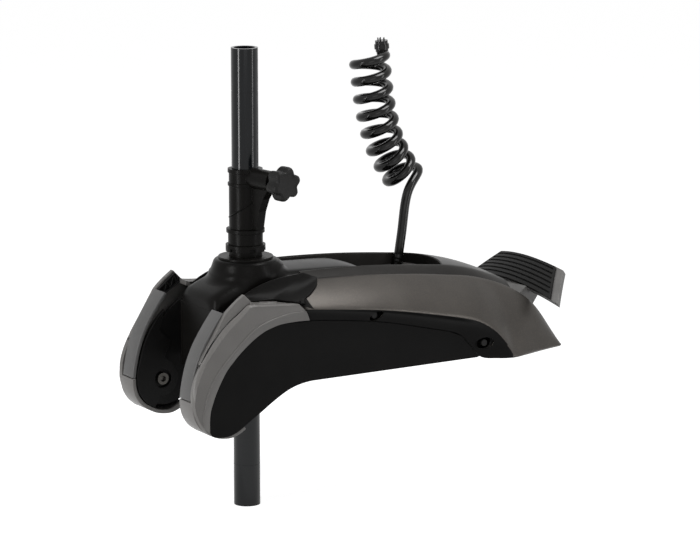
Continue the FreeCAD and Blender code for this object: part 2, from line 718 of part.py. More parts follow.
# Stations of the scoop in front of the well: aft, rim height, foot across and up.
SCOOP_STATIONS = (
    (-36.0, 95.5, 60.0, 92.5), (-20.0, 104.0, 60.0, 90.6), (0.0, 110.3, 60.2, 92.0),
    (12.0, 112.2, 67.5, 90.6), (24.0, 113.4, 72.0, 89.5),
)
BAND_STATIONS = (-1.0, 20.0, 41.0, 60.0)
RIM_INNER = 47.0


def scoop(side):
    """Hollowed wall from the rim down to the trim."""
    wires = []
    for aft, rim, foot_across, foot_up in SCOOP_STATIONS:
        flat = RIM_INNER + 2.2
        sag = (flat + (foot_across - flat) * 0.3, foot_up + (rim - foot_up) * 0.34)
        inner_sag = (RIM_INNER + (foot_across - flat) * 0.3, sag[1] - 2.4)

        def spot(across, up):
            return at(aft, side * across, up)

        edges = (
            Part.LineSegment(spot(RIM_INNER, rim), spot(flat, rim)),
            Part.Arc(spot(flat, rim), spot(*sag), spot(foot_across, foot_up)),
            Part.LineSegment(spot(foot_across, foot_up), spot(foot_across, foot_up - 2.4)),
            Part.Arc(spot(foot_across, foot_up - 2.4), spot(*inner_sag), spot(RIM_INNER, rim - 3.0)),
            Part.LineSegment(spot(RIM_INNER, rim - 3.0), spot(RIM_INNER, rim)),
        )
        wires.append(Part.Wire([edge.toShape() for edge in edges]))
    return Part.makeLoft(wires, True, True)


def end_band(side):
    """Band around the front end of the side cover, in line with its face."""
    crest_line = track(COVER_CREST)
    edge_line = track(COVER_EDGE)
    wires = []
    for aft in BAND_STATIONS:
        crest = crest_line(max(aft, COVER_CREST[0][0]))
        edge = edge_line(max(aft, COVER_EDGE[0][0]))
        reach = (edge[0] - crest[0], crest[1] - edge[1])
        middle = (
            (crest[0] + edge[0]) / 2 + reach[1] * COVER_BULGE,
            (crest[1] + edge[1]) / 2 + reach[0] * COVER_BULGE,
        )
        rim = (RIM_INNER, crest[1] + 4.6)

        def spot(point, sunk):
            return at(aft, side * (point[0] - sunk * 0.6), point[1] - sunk)

        outer = Part.Arc(spot(crest, 0.0), spot(middle, 0.0), spot(edge, 0.0))
        inner = Part.Arc(spot(edge, 3.0), spot(middle, 3.0), spot(crest, 3.0))
        edges = (
            Part.LineSegment(spot(rim, 0.0), spot(crest, 0.0)), outer,
            Part.LineSegment(spot(edge, 0.0), spot(edge, 3.0)), inner,
            Part.LineSegment(spot(crest, 3.0), at(aft, side * RIM_INNER, rim[1] - 3.0)),
            Part.LineSegment(at(aft, side * RIM_INNER, rim[1] - 3.0), spot(rim, 0.0)),
        )
        wires.append(Part.Wire([edge_curve.toShape() for edge_curve in edges]))
    band = Part.makeLoft(wires, True, True)
    gap = v.seat_gap
    rear = [(aft - gap, up + gap) for aft, up in BAND_REAR]
    kept = outline(
        BAND_FRONT, (BAND_FRONT[-1], (59.0 - gap, 117.0)), ((59.0 - gap, 117.0), rear[-1]),
        rear[::-1], (rear[0], BAND_FRONT[0]),
    )
    return band.common(side_prism(kept, side, 40.0, 110.0))


def top_cover():
    """Smooth top moulding: arms beside the well, the bridge behind it, the two ends."""
    skin = Part.makeLoft([top_wire(*station, v.cover_wall) for station in TOP_STATIONS], True, True)
    deep = Part.makeLoft([top_wire(*station, 60.0) for station in TOP_STATIONS], True, True)
    well = well_shape(0.0, 20.0, 150.0)
    liner = well_shape(LINER_WALL, v.shelf_low, 150.0).cut(well).common(deep)
    pieces = [liner]
    for side in (PORT, STARBOARD):
        pieces += [scoop(side), end_band(side)]
    solid("top_cover", joined(skin.cut(well), *pieces))


def rear_cover():
    """Low sloped cover between the tails, under the pedal."""
    behind = v.plate_rear + v.seat_gap
    edges = polygon(
        (322.0, 24.0), (334.0, 21.0), (346.0, 6.0), (346.0, 0.0), (behind, 0.0),
        (behind, 8.6), (331.5, 17.5), (322.0, 20.5),
    )
    slope = prism(edges, -v.frame_gap, v.frame_gap)
    gland_bore = rod(5.0, at(330.0, GLAND_ACROSS, GLAND_HIGH), at(360.0, GLAND_ACROSS, GLAND_HIGH))
    solid("rear_cover", slope.cut(gland_bore))


GLAND_ACROSS = 30.0
GLAND_HIGH = 14.0


def power_gland():
    """Gland that the battery lead enters by, in the rear cover."""

    def spot(aft):
        return at(aft, GLAND_ACROSS, GLAND_HIGH)

    body = rod(5.0, spot(334.0), spot(352.0))
    collar = rod(8.0, spot(346.3), spot(351.0))
    nose = Part.makeCone(6.6, 5.0, 6.0, spot(351.0), AFT)
    bore = rod(3.0, spot(330.0), spot(360.0))
    solid("power_gland", joined(body, collar, nose).cut(bore))


# Pivot, stop and well -------------------------------------------------------------------


def pivot_parts():
    """Stow pivot shaft with its retaining rings and spacers."""
    outside = v.frame_gap + v.frame_thick
    length = 2 * outside + 6.0
    turn = Rotation(AFT, -90)
    base = at(v.pivot_aft, -length / 2, v.pivot_high)
    node(cylinder("pivot_shaft", "Sizes.pivot_radius", f"{length} mm", base, turn))
    rings = []
    spacers = []
    for side in (PORT, STARBOARD):
        low, high = sided(side, outside, outside + 1.6)
        ring = crossways(v.pivot_radius + 1.5, low, high, v.pivot_aft, v.pivot_high)
        hole = crossways(v.pivot_radius, low, high, v.pivot_aft, v.pivot_high)
        rings.append(ring.cut(hole))
        flange = v.pivot_tube_half + v.bush_flange + v.seat_gap
        low, high = sided(side, flange, v.frame_gap)
        spacer = crossways(13.0, low, high, v.pivot_aft, v.pivot_high)
        hole = crossways(v.pivot_radius, low, high, v.pivot_aft, v.pivot_high)
        spacers.append(spacer.cut(hole))
    solid("pivot_rings", Part.makeCompound(rings))
    solid("pivot_spacers", Part.makeCompound(spacers))


def pivot_bushes():
    """Flanged bushes in the two ends of the pivot tube."""
    bushes = []
    for side in (PORT, STARBOARD):
        end = v.pivot_tube_half
        sleeve = crossways(v.bush_radius, *sided(side, end - 16.0, end), v.pivot_aft, v.pivot_high)
        low, high = sided(side, end, end + v.bush_flange)
        flange = crossways(v.bush_radius + 3.0, low, high, v.pivot_aft, v.pivot_high)
        low, high = sided(side, end - 17.0, end + v.bush_flange + 1.0)
        bore = crossways(v.pivot_radius + v.running_fit, low, high, v.pivot_aft, v.pivot_high)
        bushes.append(joined(sleeve, flange).cut(bore))
    solid("pivot_bushes", Part.makeCompound(bushes))


ARM_LOW = 35.0


def stop_parts():
    """Cross beam under the casting's arms and the rubber bumper they land on."""
    bumper_high = ARM_LOW - v.seat_gap
    beam_high = bumper_high - 6.0
    beam_span = (60.0, 72.0)
    beam = block(beam_span, (-v.frame_gap, v.frame_gap), (v.plate_thick, beam_high))
    solid("stop_beam", beam)
    bumper = block((61.5, 70.5), (-26.0, 26.0), (beam_high, bumper_high))
    solid("stop_bumper", bumper.makeFillet(1.5, bumper.Edges))


def well_shelf():
    """Shelf across the well that the cord's gland stands on."""
    reach = well_shape(0.0, v.shelf_low, v.shelf_low + v.shelf_thick)
    shelf = reach.common(block((184.0, 240.0), (-60.0, 60.0), (0.0, 100.0)))
    hole = upright(5.0, v.shelf_low - 1.0, v.shelf_low + v.shelf_thick + 1.0, *RELIEF_FOOT)
    solid("well_shelf", shelf.cut(hole))


# Control board under the bridge ------------------------------------------------------------


def control_board():
    """Circuit board with its parts, on four posts."""
    high = v.plate_thick + 6.0
    board = block((196.0, 272.0), (-34.0, 34.0), (high, high + 1.6))
    chip = block((206.0, 226.0), (-28.0, -10.0), (high + 1.6, high + 5.0))
    socket = block((240.0, 262.0), (12.0, 30.0), (high + 1.6, high + 9.0))
    posts = []
    for aft in (201.0, 267.0):
        for across in (-29.0, 29.0):
            posts.append(upright(3.0, v.plate_thick, high, aft, across))
    solid("control_board", joined(board, chip, socket, *posts))


# Steering head -------------------------------------------------------------------------------

HOOD_TOP = [
    (-60.0, 95.0), (-44.0, 103.0), (-26.0, 109.5), (0.0, 113.5), (27.0, 115.0), (70.0, 113.8), (112.0, 111.6),
    (127.0, 108.5),
]


def hood_profile(drop, front, rear, low):
    """Side outline of the hood, its top lowered by drop."""
    top = [(aft, up - drop) for aft, up in HOOD_TOP]
    top[0] = (-front, top[0][1])
    top[-1] = (rear, top[-1][1])
    shoulder = v.head_rear + 6.0
    skirt = 92.0
    return outline(
        top,
        (top[-1], (rear, skirt)),
        ((rear, skirt), (shoulder, skirt)),
        ((shoulder, skirt), (v.head_rear, low)),
        ((v.head_rear, low), (-front, low)),
        ((-front, low), top[0]),
    )


def housing_hood():
    """Upper shell of the steering head, with the boss that the hub comes out of."""
    wall = v.head_wall
    outside = prism(hood_profile(0.0, v.head_front, v.hood_rear, v.head_split), -v.head_half, v.head_half)
    ridges = []
    for edge in outside.Edges:
        box = edge.BoundBox
        along_side = abs(abs(box.YMin) - v.head_half) < 0.01 and box.YLength < 0.01
        if along_side and box.ZMin > 94.0 and box.XLength > 50.0:
            ridges.append(edge)
    outside = outside.makeFillet(6.0, ridges)
    inner_half = v.head_half - wall
    inside = prism(
        hood_profile(wall, v.head_front - wall, v.hood_rear + 5.0, v.head_split - 1.0),
        -inner_half, inner_half,
    )
    inside_low = block((-v.head_front + wall, v.head_rear - wall), (-inner_half, inner_half), (v.head_split - 1, 90.0))
    inside_rear = block((v.head_rear - 2.0, v.hood_rear + 6.0), (-inner_half, inner_half), (80.0, 104.0))
    shell = outside.cut([inside, inside_low, inside_rear])
    foot_high = 98.0
    cone_high = v.boss_top - foot_high
    boss = Part.makeCone(v.boss_foot_radius, v.boss_radius, cone_high, at(0, 0, foot_high), UP)
    boss = boss.common(block((-60.0, 60.0), (-v.head_half, v.head_half), (foot_high, 140.0)))
    inner_foot = v.boss_foot_radius - wall
    inner_top = v.boss_radius - wall
    hollow = Part.makeCone(inner_foot, inner_top, cone_high - wall + 10.0, at(0, 0, foot_high - 10.0), UP)
    bore = upright(v.hub_radius + 0.5, 80.0, 140.0)
    posts = []
    for aft, across in SCREW_SPOTS:
        posts.append(upright(5.0, v.head_split, 94.0, aft, across))
    shell = joined(shell, boss).cut([hollow, bore])
    shell = joined(shell, *posts)
    holes = [upright(2.0, v.head_split - 1.0, 90.0, aft, across) for aft, across in SCREW_SPOTS]
    solid("housing_hood", shell.cut(holes))


SCREW_SPOTS = ((-50.0, -29.0), (-50.0, 29.0), (35.0, -31.0), (35.0, 31.0))


def housing_shell():
    """Lower shell of the steering head, open towards the pivot."""
    wall = v.head_wall
    outside = block(
        (-v.head_front, v.head_rear), (-v.head_half, v.head_half), (v.head_low, v.head_split)
    )
    corners = [edge for edge in outside.Edges if edge.BoundBox.ZLength > 10.0]
    outside = outside.makeFillet(5.0, corners)
    inside = block(
        (-v.head_front + wall, v.head_rear - wall),
        (-v.head_half + wall, v.head_half - wall),
        (v.head_low + wall, v.head_split + 1.0),
    )
    window = block((v.head_rear - wall - 1.0, v.head_rear + 1.0), (-30.0, 30.0), (30.0, v.head_split + 1.0))
    hole = upright(v.hub_radius + 3.0, v.head_low - 1.0, v.head_low + wall + 1.0)
    posts = []
    for aft, across in SCREW_SPOTS:
        posts.append(upright(5.0, v.head_low, v.head_split, aft, across))
    shell = outside.cut([inside, window])
    shell = joined(shell, *posts).cut(hole)
    holes = [upright(2.0, v.head_low - 1.0, v.head_split + 1.0, aft, across) for aft, across in SCREW_SPOTS]
    heads = [upright(3.8, v.head_low - 1.0, v.head_low + 3.0, aft, across) for aft, across in SCREW_SPOTS]
    solid("housing_shell", shell.cut(holes + heads))


def housing_screws():
    """Long screws that hold the two head shells together."""
    screws = []
    for aft, across in SCREW_SPOTS:
        head = upright(3.7, v.head_low + 0.4, v.head_low + 3.0, aft, across)
        shank = upright(2.0, v.head_low + 3.0, 89.0, aft, across)
        screws.append(joined(head, shank))
    solid("housing_screws", Part.makeCompound(screws))


def motor_aft():
    """Place of the motor and pinion axis."""
    return -(v.gear_teeth + v.pinion_teeth) * v.gear_module / 2


def carriage_casting():
    """Casting with the hub tube, two arms and the pivot tube."""
    tube = upright(v.casting_radius, v.casting_low, v.casting_high)
    skirt = upright(v.casting_radius, v.head_low + v.head_wall, v.casting_low)
    pivot = crossways(v.pivot_tube_radius, -v.pivot_tube_half, v.pivot_tube_half, v.pivot_aft, v.pivot_high)
    arms = []
    arm_edges = outline(
        ((5.0, ARM_LOW), (v.pivot_aft - 6.0, ARM_LOW)),
        [(v.pivot_aft - 6.0, ARM_LOW), (v.pivot_aft + 10.0, v.pivot_high - 9.0), (v.pivot_aft + 10.0, v.pivot_high + 9.0), (v.pivot_aft - 6.0, v.pivot_high + 19.0)],
        ((v.pivot_aft - 6.0, v.pivot_high + 19.0), (5.0, v.casting_high - 2.0)),
        ((5.0, v.casting_high - 2.0), (5.0, ARM_LOW)),
    )
    for side in (PORT, STARBOARD):
        arms.append(side_prism(arm_edges, side, 18.0, 25.0))
    table = block((motor_aft() - 13.0, 0.0), (-13.0, 13.0), (v.casting_high - 5.0, v.casting_high))
    whole = joined(tube, skirt, pivot, table, *arms)
    fit = v.hub_radius + 2.4
    bores = [
        upright(fit, 0.0, 100.0),
        upright(v.bearing_radius, v.casting_low, v.casting_low + v.bearing_high),
        upright(v.bearing_radius, v.casting_high - v.bearing_high, v.casting_high + 1.0),
        upright(v.casting_radius - 2.5, 0.0, v.casting_low),
        crossways(v.bush_radius, -60.0, 60.0, v.pivot_aft, v.pivot_high),
        upright(5.0, 60.0, 90.0, motor_aft()),
    ]
    solid("carriage_casting", whole.cut(bores))


def bearings():
    """The two bearings that the hub turns in."""
    inner = "Sizes.hub_radius + Sizes.running_fit"
    low = at(0, 0, v.casting_low)
    ring_piece("lower_bearing", inner, "Sizes.bearing_radius", "Sizes.bearing_high", low)
    high = at(0, 0, v.casting_high - v.bearing_high)
    ring_piece("upper_bearing", inner, "Sizes.bearing_radius", "Sizes.bearing_high", high)


def boss_washer():
    """Washer on the boss, around the hub's neck."""
    inner = "Sizes.hub_radius + 2 * Sizes.running_fit"
    base = at(0, 0, v.boss_top)
    ring_piece("boss_washer", inner, "Sizes.washer_radius", "Sizes.washer_thick", base)


def steering_motor():
    """Motor that turns the hub, hung under the casting's table."""
    table_low = v.casting_high - 5.0
    can = upright(v.motor_radius, v.motor_low, table_low, motor_aft())
    collar = upright(4.8, table_low, v.casting_high, motor_aft())
    terminals = block((motor_aft() - 5.0, motor_aft() + 5.0), (-6.0, 6.0), (v.motor_low - 4.0, v.motor_low))
    bore = upright(PINION_SHAFT + v.running_fit, table_low - 12.0, v.casting_high + 1.0, motor_aft())
    solid("steering_motor", joined(can, collar, terminals).cut(bore))


PINION_SHAFT = 3.0
GEAR_BACKLASH = 0.35
PRESSURE_ANGLE = math.radians(20)


def gear_face(teeth, phase, centre_aft, low):
    """Face of a spur gear, with tooth flanks as arcs through involute points."""
    count = int(round(teeth))
    pitch = teeth * v.gear_module / 2
    base = pitch * math.cos(PRESSURE_ANGLE)
    tip = pitch + v.gear_module
    root = pitch - 1.25 * v.gear_module
    start = max(base, root)
    half_pitch_angle = math.pi / 2 / teeth - GEAR_BACKLASH / 2 / (2 * pitch)

    def involute(radius):
        angle = math.acos(min(1.0, base / radius))
        return math.tan(angle) - angle

    def spot(radius, angle):
        x = centre_aft + radius * math.cos(angle)
        return at(x, radius * math.sin(angle), low)

    edges = []
    for index in range(count):
        middle = phase + 2 * math.pi * index / count
        following = middle + 2 * math.pi / count
        wide = half_pitch_angle + involute(pitch)
        angles = {radius: wide - involute(radius) for radius in (start, pitch, tip)}
        left = [spot(radius, middle - angles[radius]) for radius in (start, pitch, tip)]
        right = [spot(radius, middle + angles[radius]) for radius in (tip, pitch, start)]
        root_left = spot(root, middle - angles[start])
        root_right = spot(root, middle + angles[start])
        next_root = spot(root, following - angles[start])
        if start > root:
            edges.append(Part.LineSegment(root_left, left[0]))
        edges.append(Part.Arc(*left))
        edges.append(Part.Arc(left[2], spot(tip, middle), right[0]))
        edges.append(Part.Arc(*right))
        if start > root:
            edges.append(Part.LineSegment(right[2], root_right))
        edges.append(Part.Arc(root_right, spot(root, (middle + following) / 2), next_root))
    wire = Part.Wire([edge.toShape() for edge in edges])
    return Part.Face(wire)


def steering_gear():
    """Spur gear on the hub."""
    face = gear_face(v.gear_teeth, math.pi, 0.0, v.gear_low)
    gear = face.extrude(Vector(0, 0, v.gear_high))
    bore = upright(v.hub_radius, v.gear_low - 1.0, v.gear_low + v.gear_high + 1.0)
    solid("steering_gear", gear.cut(bore))


def steering_pinion():
    """Motor pinion, in mesh with the steering gear."""
    face = gear_face(v.pinion_teeth, math.pi / v.pinion_teeth, motor_aft(), v.gear_low - 1.0)
    gear = face.extrude(Vector(0, 0, v.gear_high + 2.0))
    axle = upright(PINION_SHAFT, v.casting_high - 16.0, v.gear_low + v.gear_high + 2.0, motor_aft())
    solid("steering_pinion", joined(gear, axle))


def steering_hub():
    """Tube that the shaft goes through, turned by the steering gear."""
    bore = v.shaft_radius + v.running_fit
    flange = v.bearing_radius - 2.0
    step = v.casting_low - 0.2
    turned("steering_hub", (
        (bore, v.hub_low), (v.hub_radius, v.hub_low), (v.hub_radius, step - 3.4), (flange, step - 3.4),
        (flange, step), (v.hub_radius, step), (v.hub_radius, v.hub_high), (bore, v.hub_high),
    ))


def lock_ring():
    """Castellated ring that locks the collar to the hub."""
    low = v.lock_low
    high = v.hub_high
    ring = upright(v.lock_radius, low, high)
    bore = upright(v.hub_radius, low - 1.0, high + 1.0)
    notch_depth = 2.2
    notches = []
    for index in range(6):
        turn = math.radians(20 + 60 * index)
        spot = at(math.cos(turn) * v.lock_radius, math.sin(turn) * v.lock_radius, low)
        notch = Part.makeBox(2 * notch_depth, 7.0, 3.6, Vector(-notch_depth, -3.5, 0))
        notch.Placement = Placement(spot, Rotation(UP, math.degrees(turn)))
        notches.append(notch)
    solid("collar_lock_ring", ring.cut([bore] + notches))


def clamp_point(reach, up=None):
    """Point on the clamp axis, reach away from the shaft axis."""
    turn = math.radians(v.knob_turn)
    height = v.knob_high if up is None else up
    return at(reach * math.sin(turn), -reach * math.cos(turn), height)


def clamp_rod(radius, start, end):
    """Round bar on the clamp axis."""
    return rod(radius, clamp_point(start), clamp_point(end))


CLAMP_BOSS_RADIUS = 11.0
CLAMP_BOSS_REACH = 46.0
BEAD = 1.2


def depth_collar():
    """Collar that grips the shaft, with two beads, a flange and the clamp boss."""
    low = v.hub_high
    tube = v.collar_radius
    foot = tube + BEAD
    profile = (
        (0.0, low), (foot, low), (foot, low + 12.5), (foot + 1.9, low + 13.0), (foot + 1.9, low + 17.0),
        (tube, low + 17.6), (tube, 204.6), (tube + BEAD, 205.0), (tube + BEAD, 208.0),
        (tube, 208.4), (tube, 218.6), (tube + BEAD, 219.0), (tube + BEAD, v.collar_high), (0.0, v.collar_high),
    )
    wire = Part.makePolygon([at(radius, 0, up) for radius, up in profile + profile[:1]])
    body = Part.Face(wire).revolve(at(0, 0, 0), UP, 360)
    boss = clamp_rod(CLAMP_BOSS_RADIUS, 5.0, CLAMP_BOSS_REACH)
    web_low = low + 18.0
    web = [
        clamp_point(5.0, web_low), clamp_point(24.0, web_low), clamp_point(28.0, 180.0),
        clamp_point(34.0, 194.0), clamp_point(CLAMP_BOSS_REACH - 4.0, 205.0),
        clamp_point(CLAMP_BOSS_REACH - 4.0, v.knob_high), clamp_point(5.0, v.knob_high),
    ]
    turn = math.radians(v.knob_turn)
    sideways = Vector(math.cos(turn), math.sin(turn), 0)
    web_half = 5.0
    face = Part.Face(Part.makePolygon(web + web[:1]))
    face.translate(sideways * -web_half)
    web = face.extrude(sideways * 2 * web_half)
    whole = joined(body, boss, web)
    bores = [
        upright(v.shaft_radius + v.running_fit, low - 1.0, v.collar_high + 10.0),
        clamp_rod(v.shoe_radius + v.running_fit, 0.0, 21.0 + v.clamp_travel + 0.6),
        clamp_rod(v.stud_radius + v.running_fit, 0.0, CLAMP_BOSS_REACH + 1.0),
    ]
    solid("depth_collar", whole.cut(bores))


def clamp_shoe():
    """Shoe that the stud presses on the shaft."""
    shoe = clamp_rod(v.shoe_radius, 12.0, 21.0)
    hollow = upright(v.shaft_radius + v.running_fit, v.knob_high - 10.0, v.knob_high + 10.0)
    solid("clamp_shoe", shoe.cut(hollow))


def clamp_knob():
    """Six-lobed knob."""
    lobes = 6
    valley_radius = v.knob_radius * 0.78
    hub = clamp_rod(valley_radius, v.knob_near, v.knob_far)
    start = clamp_point(v.knob_near)
    along = clamp_point(v.knob_far) - start
    turn = math.radians(v.knob_turn)
    sideways = Vector(math.cos(turn), math.sin(turn), 0)
    lobe_radius = v.knob_radius * 0.3
    arm = v.knob_radius - lobe_radius
    pieces = []
    for index in range(lobes):
        angle = math.radians(15 + 360 / lobes * index)
        offset = sideways * (arm * math.cos(angle)) + UP * (arm * math.sin(angle))
        pieces.append(rod(lobe_radius, start + offset, start + offset + along))
    neck = clamp_rod(8.0, CLAMP_BOSS_REACH + 1.5, v.knob_near)
    body = joined(hub, neck, *pieces)
    bore = clamp_rod(v.stud_radius, CLAMP_BOSS_REACH, v.knob_far - 5.0)
    solid("clamp_knob", body.cut(bore))


def clamp_stud():
    """Threaded stud of the knob."""
    solid("clamp_stud", clamp_rod(v.stud_radius, 21.05, v.knob_far - 5.0))


def shaft():
    """Section of the shaft tube, with a shallow ring where each end's grip stops."""
    inside = v.shaft_radius - v.shaft_wall
    outside = v.shaft_radius
    groove_floor = outside - 0.3
    groove_wide = 1.2
    low_mark = v.shaft_grip - v.shaft_low
    high_mark = v.shaft_high - v.shaft_grip
    turned("shaft", (
        (inside, -v.shaft_low), (outside, -v.shaft_low), (outside, low_mark), (groove_floor, low_mark),
        (groove_floor, low_mark + groove_wide), (outside, low_mark + groove_wide),
        (outside, high_mark - groove_wide), (groove_floor, high_mark - groove_wide),
        (groove_floor, high_mark), (outside, high_mark), (outside, v.shaft_high), (inside, v.shaft_high),
    ))


# Pedal and latch ------------------------------------------------------------------------------


def pedal_plane():
    """Middle of the pedal's front edge, and its rising and square directions."""
    tilt = math.radians(v.pedal_tilt)
    rising = Vector(math.cos(tilt), 0, math.sin(tilt))
    square = Vector(-math.sin(tilt), 0, math.cos(tilt))
    return at(329.5, 0, 71.5), rising, square


def crowned_plate(front, half_front, half_rear, length, thick, drop):
    """Plate arched across the boat, narrowing as it rises from its front edge."""
    corner, rising, square = pedal_plane()
    start = corner + rising * front - square * drop
    centre = start - square * (v.pedal_crown - drop)
    outer = v.pedal_crown - drop
    inner = outer - thick
    spread = 0.5

    def spot(radius, angle):
        return centre + square * (radius * math.cos(angle)) + ACROSS * (radius * math.sin(angle))

    edges = (
        Part.Arc(spot(outer, -spread), spot(outer, 0), spot(outer, spread)).toShape(),
        Part.LineSegment(spot(outer, spread), spot(inner, spread)).toShape(),
        Part.Arc(spot(inner, spread), spot(inner, 0), spot(inner, -spread)).toShape(),
        Part.LineSegment(spot(inner, -spread), spot(outer, -spread)).toShape(),
    )
    band = Part.Face(Part.Wire(edges)).extrude(rising * length)
    low = start - square * 80
    corners = [
        low + ACROSS * half_front, low - ACROSS * half_front,
        low - ACROSS * half_rear + rising * length, low + ACROSS * half_rear + rising * length,
    ]
    trim = Part.Face(Part.makePolygon(corners + corners[:1])).extrude(square * 160)
    return band.common(trim)


TREAD_LENGTH = 37.0
TREAD_THICK = 3.0
TREAD_BED = 0.15
TREAD_FRONT_HALF = 80.0
TREAD_REAR_HALF = 53.0
PEDAL_BORDER = 9.0


def release_pedal():
    """Gray pedal frame with its flanks, neck, side arms and the lever of the pull rod."""
    frame = crowned_plate(
        0.0, TREAD_FRONT_HALF + PEDAL_BORDER, TREAD_REAR_HALF + PEDAL_BORDER, TREAD_LENGTH + 2.0,
        v.pedal_thick, TREAD_THICK + TREAD_BED,
    )
    corner, rising, square = pedal_plane()
    neck = prism(
        polygon((296.0, 45.0), (300.0, 34.5), (305.0, 37.0), (334.0, 62.0), (342.0, 73.0), (338.0, 72.5), (328.0, 66.0), (304.0, 47.0)),
        -44.0, 44.0,
    )
    arms = []
    arm_edges = polygon((296.0, 34.0), (308.0, 31.0), (336.0, 41.0), (352.0, 64.0), (348.0, 76.0), (338.0, 70.0), (300.0, 47.0))
    for side in (PORT, STARBOARD):
        arms.append(side_prism(arm_edges, side, 38.0, 44.0))
    hub = crossways(9.0, -44.0, 44.0, v.pedal_aft, v.pedal_high)
    lever = prism(polygon((297.0, 40.0), (298.5, v.rod_high - 4.0), (303.5, v.rod_high - 4.0), (306.0, 40.0)), -4.0, 4.0)
    whole = joined(frame, neck, hub, lever, *arms)
    bore = crossways(v.pedal_pin_radius + v.running_fit, -60.0, 60.0, v.pedal_aft, v.pedal_high)
    spring_pocket = crossways(7.5, 6.0, 22.0, v.pedal_aft, v.pedal_high)
    tread_seat = crowned_plate(
        -1.0, TREAD_FRONT_HALF + 0.7, TREAD_REAR_HALF, TREAD_LENGTH + 1.0,
        2 * TREAD_THICK + TREAD_BED, -TREAD_THICK,
    )
    solid("release_pedal", whole.cut([bore, spring_pocket, tread_seat]))


def pedal_tread():
    """Dark grooved tread let into the top of the pedal."""
    tread = crowned_plate(0.0, TREAD_FRONT_HALF, TREAD_REAR_HALF, TREAD_LENGTH, TREAD_THICK, 0.0)
    grooves = []
    count = 6
    for index in range(count):
        place = 5.0 + index * (TREAD_LENGTH - 9.0) / (count - 1) - 1.2
        half = TREAD_FRONT_HALF - (TREAD_FRONT_HALF - TREAD_REAR_HALF) * place / TREAD_LENGTH - 3.0
        groove = crowned_plate(place, half, half, 2.4, 2.2, -0.6)
        grooves.append(groove)
    solid("pedal_tread", tread.cut(grooves))


def pedal_pin():
    """Hinge pin of the pedal, between the side frames."""
    half = v.frame_gap + v.frame_thick
    base = at(v.pedal_aft, -half, v.pedal_high)
    node(cylinder("pedal_pin", "Sizes.pedal_pin_radius", f"{2 * half} mm", base, Rotation(AFT, -90)))


def pedal_spring():
    """Return spring wound on the hinge pin, as its separate turns."""
    turns = []
    wire = 1.0
    for index in range(5):
        across = 9.0 + index * 2.4
        ring = Part.makeTorus(v.pedal_pin_radius + wire + 0.1, wire, at(v.pedal_aft, across, v.pedal_high), ACROSS)
        turns.append(ring)
    solid("pedal_spring", Part.makeCompound(turns))


LEVER_PLACE = 297.6


def pull_rod():
    """Rod that carries the pedal's push forward to the pawl."""
    start = at(PAWL_AFT + 4.0 + v.seat_gap + v.rod_radius, 0, v.rod_high)
    bar = rod(v.rod_radius, start, at(LEVER_PLACE, 0, v.rod_high))
    solid("pull_rod", joined(bar, Part.makeSphere(v.rod_radius, start)))


def rod_guides():
    """Two posts on the base plate that the pull rod slides in."""
    guides = []
    for aft in (160.0, 284.0):
        post = block((aft - 4.0, aft + 4.0), (-7.0, 7.0), (v.plate_thick, v.rod_high + 6.0))
        hole = rod(v.rod_radius + v.running_fit, at(aft - 5.0, 0, v.rod_high), at(aft + 5.0, 0, v.rod_high))
        guides.append(post.cut(hole))
    solid("rod_guides", Part.makeCompound(guides))


PAWL_BORE = 3.0
NOSE_GAP = 0.6
NOSE_WAY = Vector(0.42, 0, -0.907)
NOSE_TIP = at(v.pivot_aft, 0, v.pivot_high) + NOSE_WAY * (v.sector_radius + NOSE_GAP)
NOSE_AFT = NOSE_TIP.x + v.shaft_offset
PAWL_AFT = NOSE_AFT + v.pawl_reach


def pawl():
    """Latch pawl under the sector: a nose towards the sector and an arm for the rod."""
    edges = polygon(
        (NOSE_AFT, NOSE_TIP.z), (NOSE_AFT + 5.0, NOSE_TIP.z - 1.5), (PAWL_AFT - 3.0, v.pawl_high + 5.0),
        (PAWL_AFT - 3.2, v.rod_high + 3.0), (PAWL_AFT + 4.0, v.rod_high + 3.0),
        (PAWL_AFT + 4.0, v.pawl_high), (PAWL_AFT, v.pawl_high - 4.5), (PAWL_AFT - 5.0, v.pawl_high - 3.5),
        (NOSE_AFT - 2.0, NOSE_TIP.z - 5.0),
    )
    plate = prism(edges, -5.0, 5.0)
    bore = crossways(PAWL_BORE + v.running_fit, -6.0, 6.0, PAWL_AFT, v.pawl_high)
    solid("latch_pawl", plate.cut(bore))


def pawl_bracket():
    """Bracket on the base plate with the pawl's pin."""
    ears = []
    for side in (PORT, STARBOARD):
        ear = side_prism(
            polygon((PAWL_AFT - 7.0, v.plate_thick), (PAWL_AFT + 7.0, v.plate_thick),
                    (PAWL_AFT + 5.0, v.pawl_high + 5.0), (PAWL_AFT - 5.0, v.pawl_high + 5.0)),
            side, 5.4, 9.4,
        )
        ears.append(ear)
    foot = block((PAWL_AFT - 7.0, PAWL_AFT + 7.0), (-9.4, 9.4), (v.plate_thick, v.plate_thick + 2.0))
    pin = crossways(PAWL_BORE, -9.4, 9.4, PAWL_AFT, v.pawl_high)
    solid("pawl_bracket", joined(foot, pin, *ears))


def latch_sector():
    """Notched sector on the pivot tube that the pawl catches."""
    disc = crossways(v.sector_radius, -6.0, 6.0, v.pivot_aft, v.pivot_high)
    hole = crossways(v.pivot_tube_radius, -7.0, 7.0, v.pivot_aft, v.pivot_high)
    centre = at(v.pivot_aft, 0, v.pivot_high)
    notches = []
    for angle in (-65.2, 24.8):
        turn = math.radians(angle)
        spot = centre + Vector(math.cos(turn), 0, math.sin(turn)) * v.sector_radius
        notches.append(Part.makeCylinder(4.5, 14.0, spot - ACROSS * 7.0, ACROSS))
    solid("latch_sector", disc.cut([hole] + notches))


# Curly cord -----------------------------------------------------------------------------------

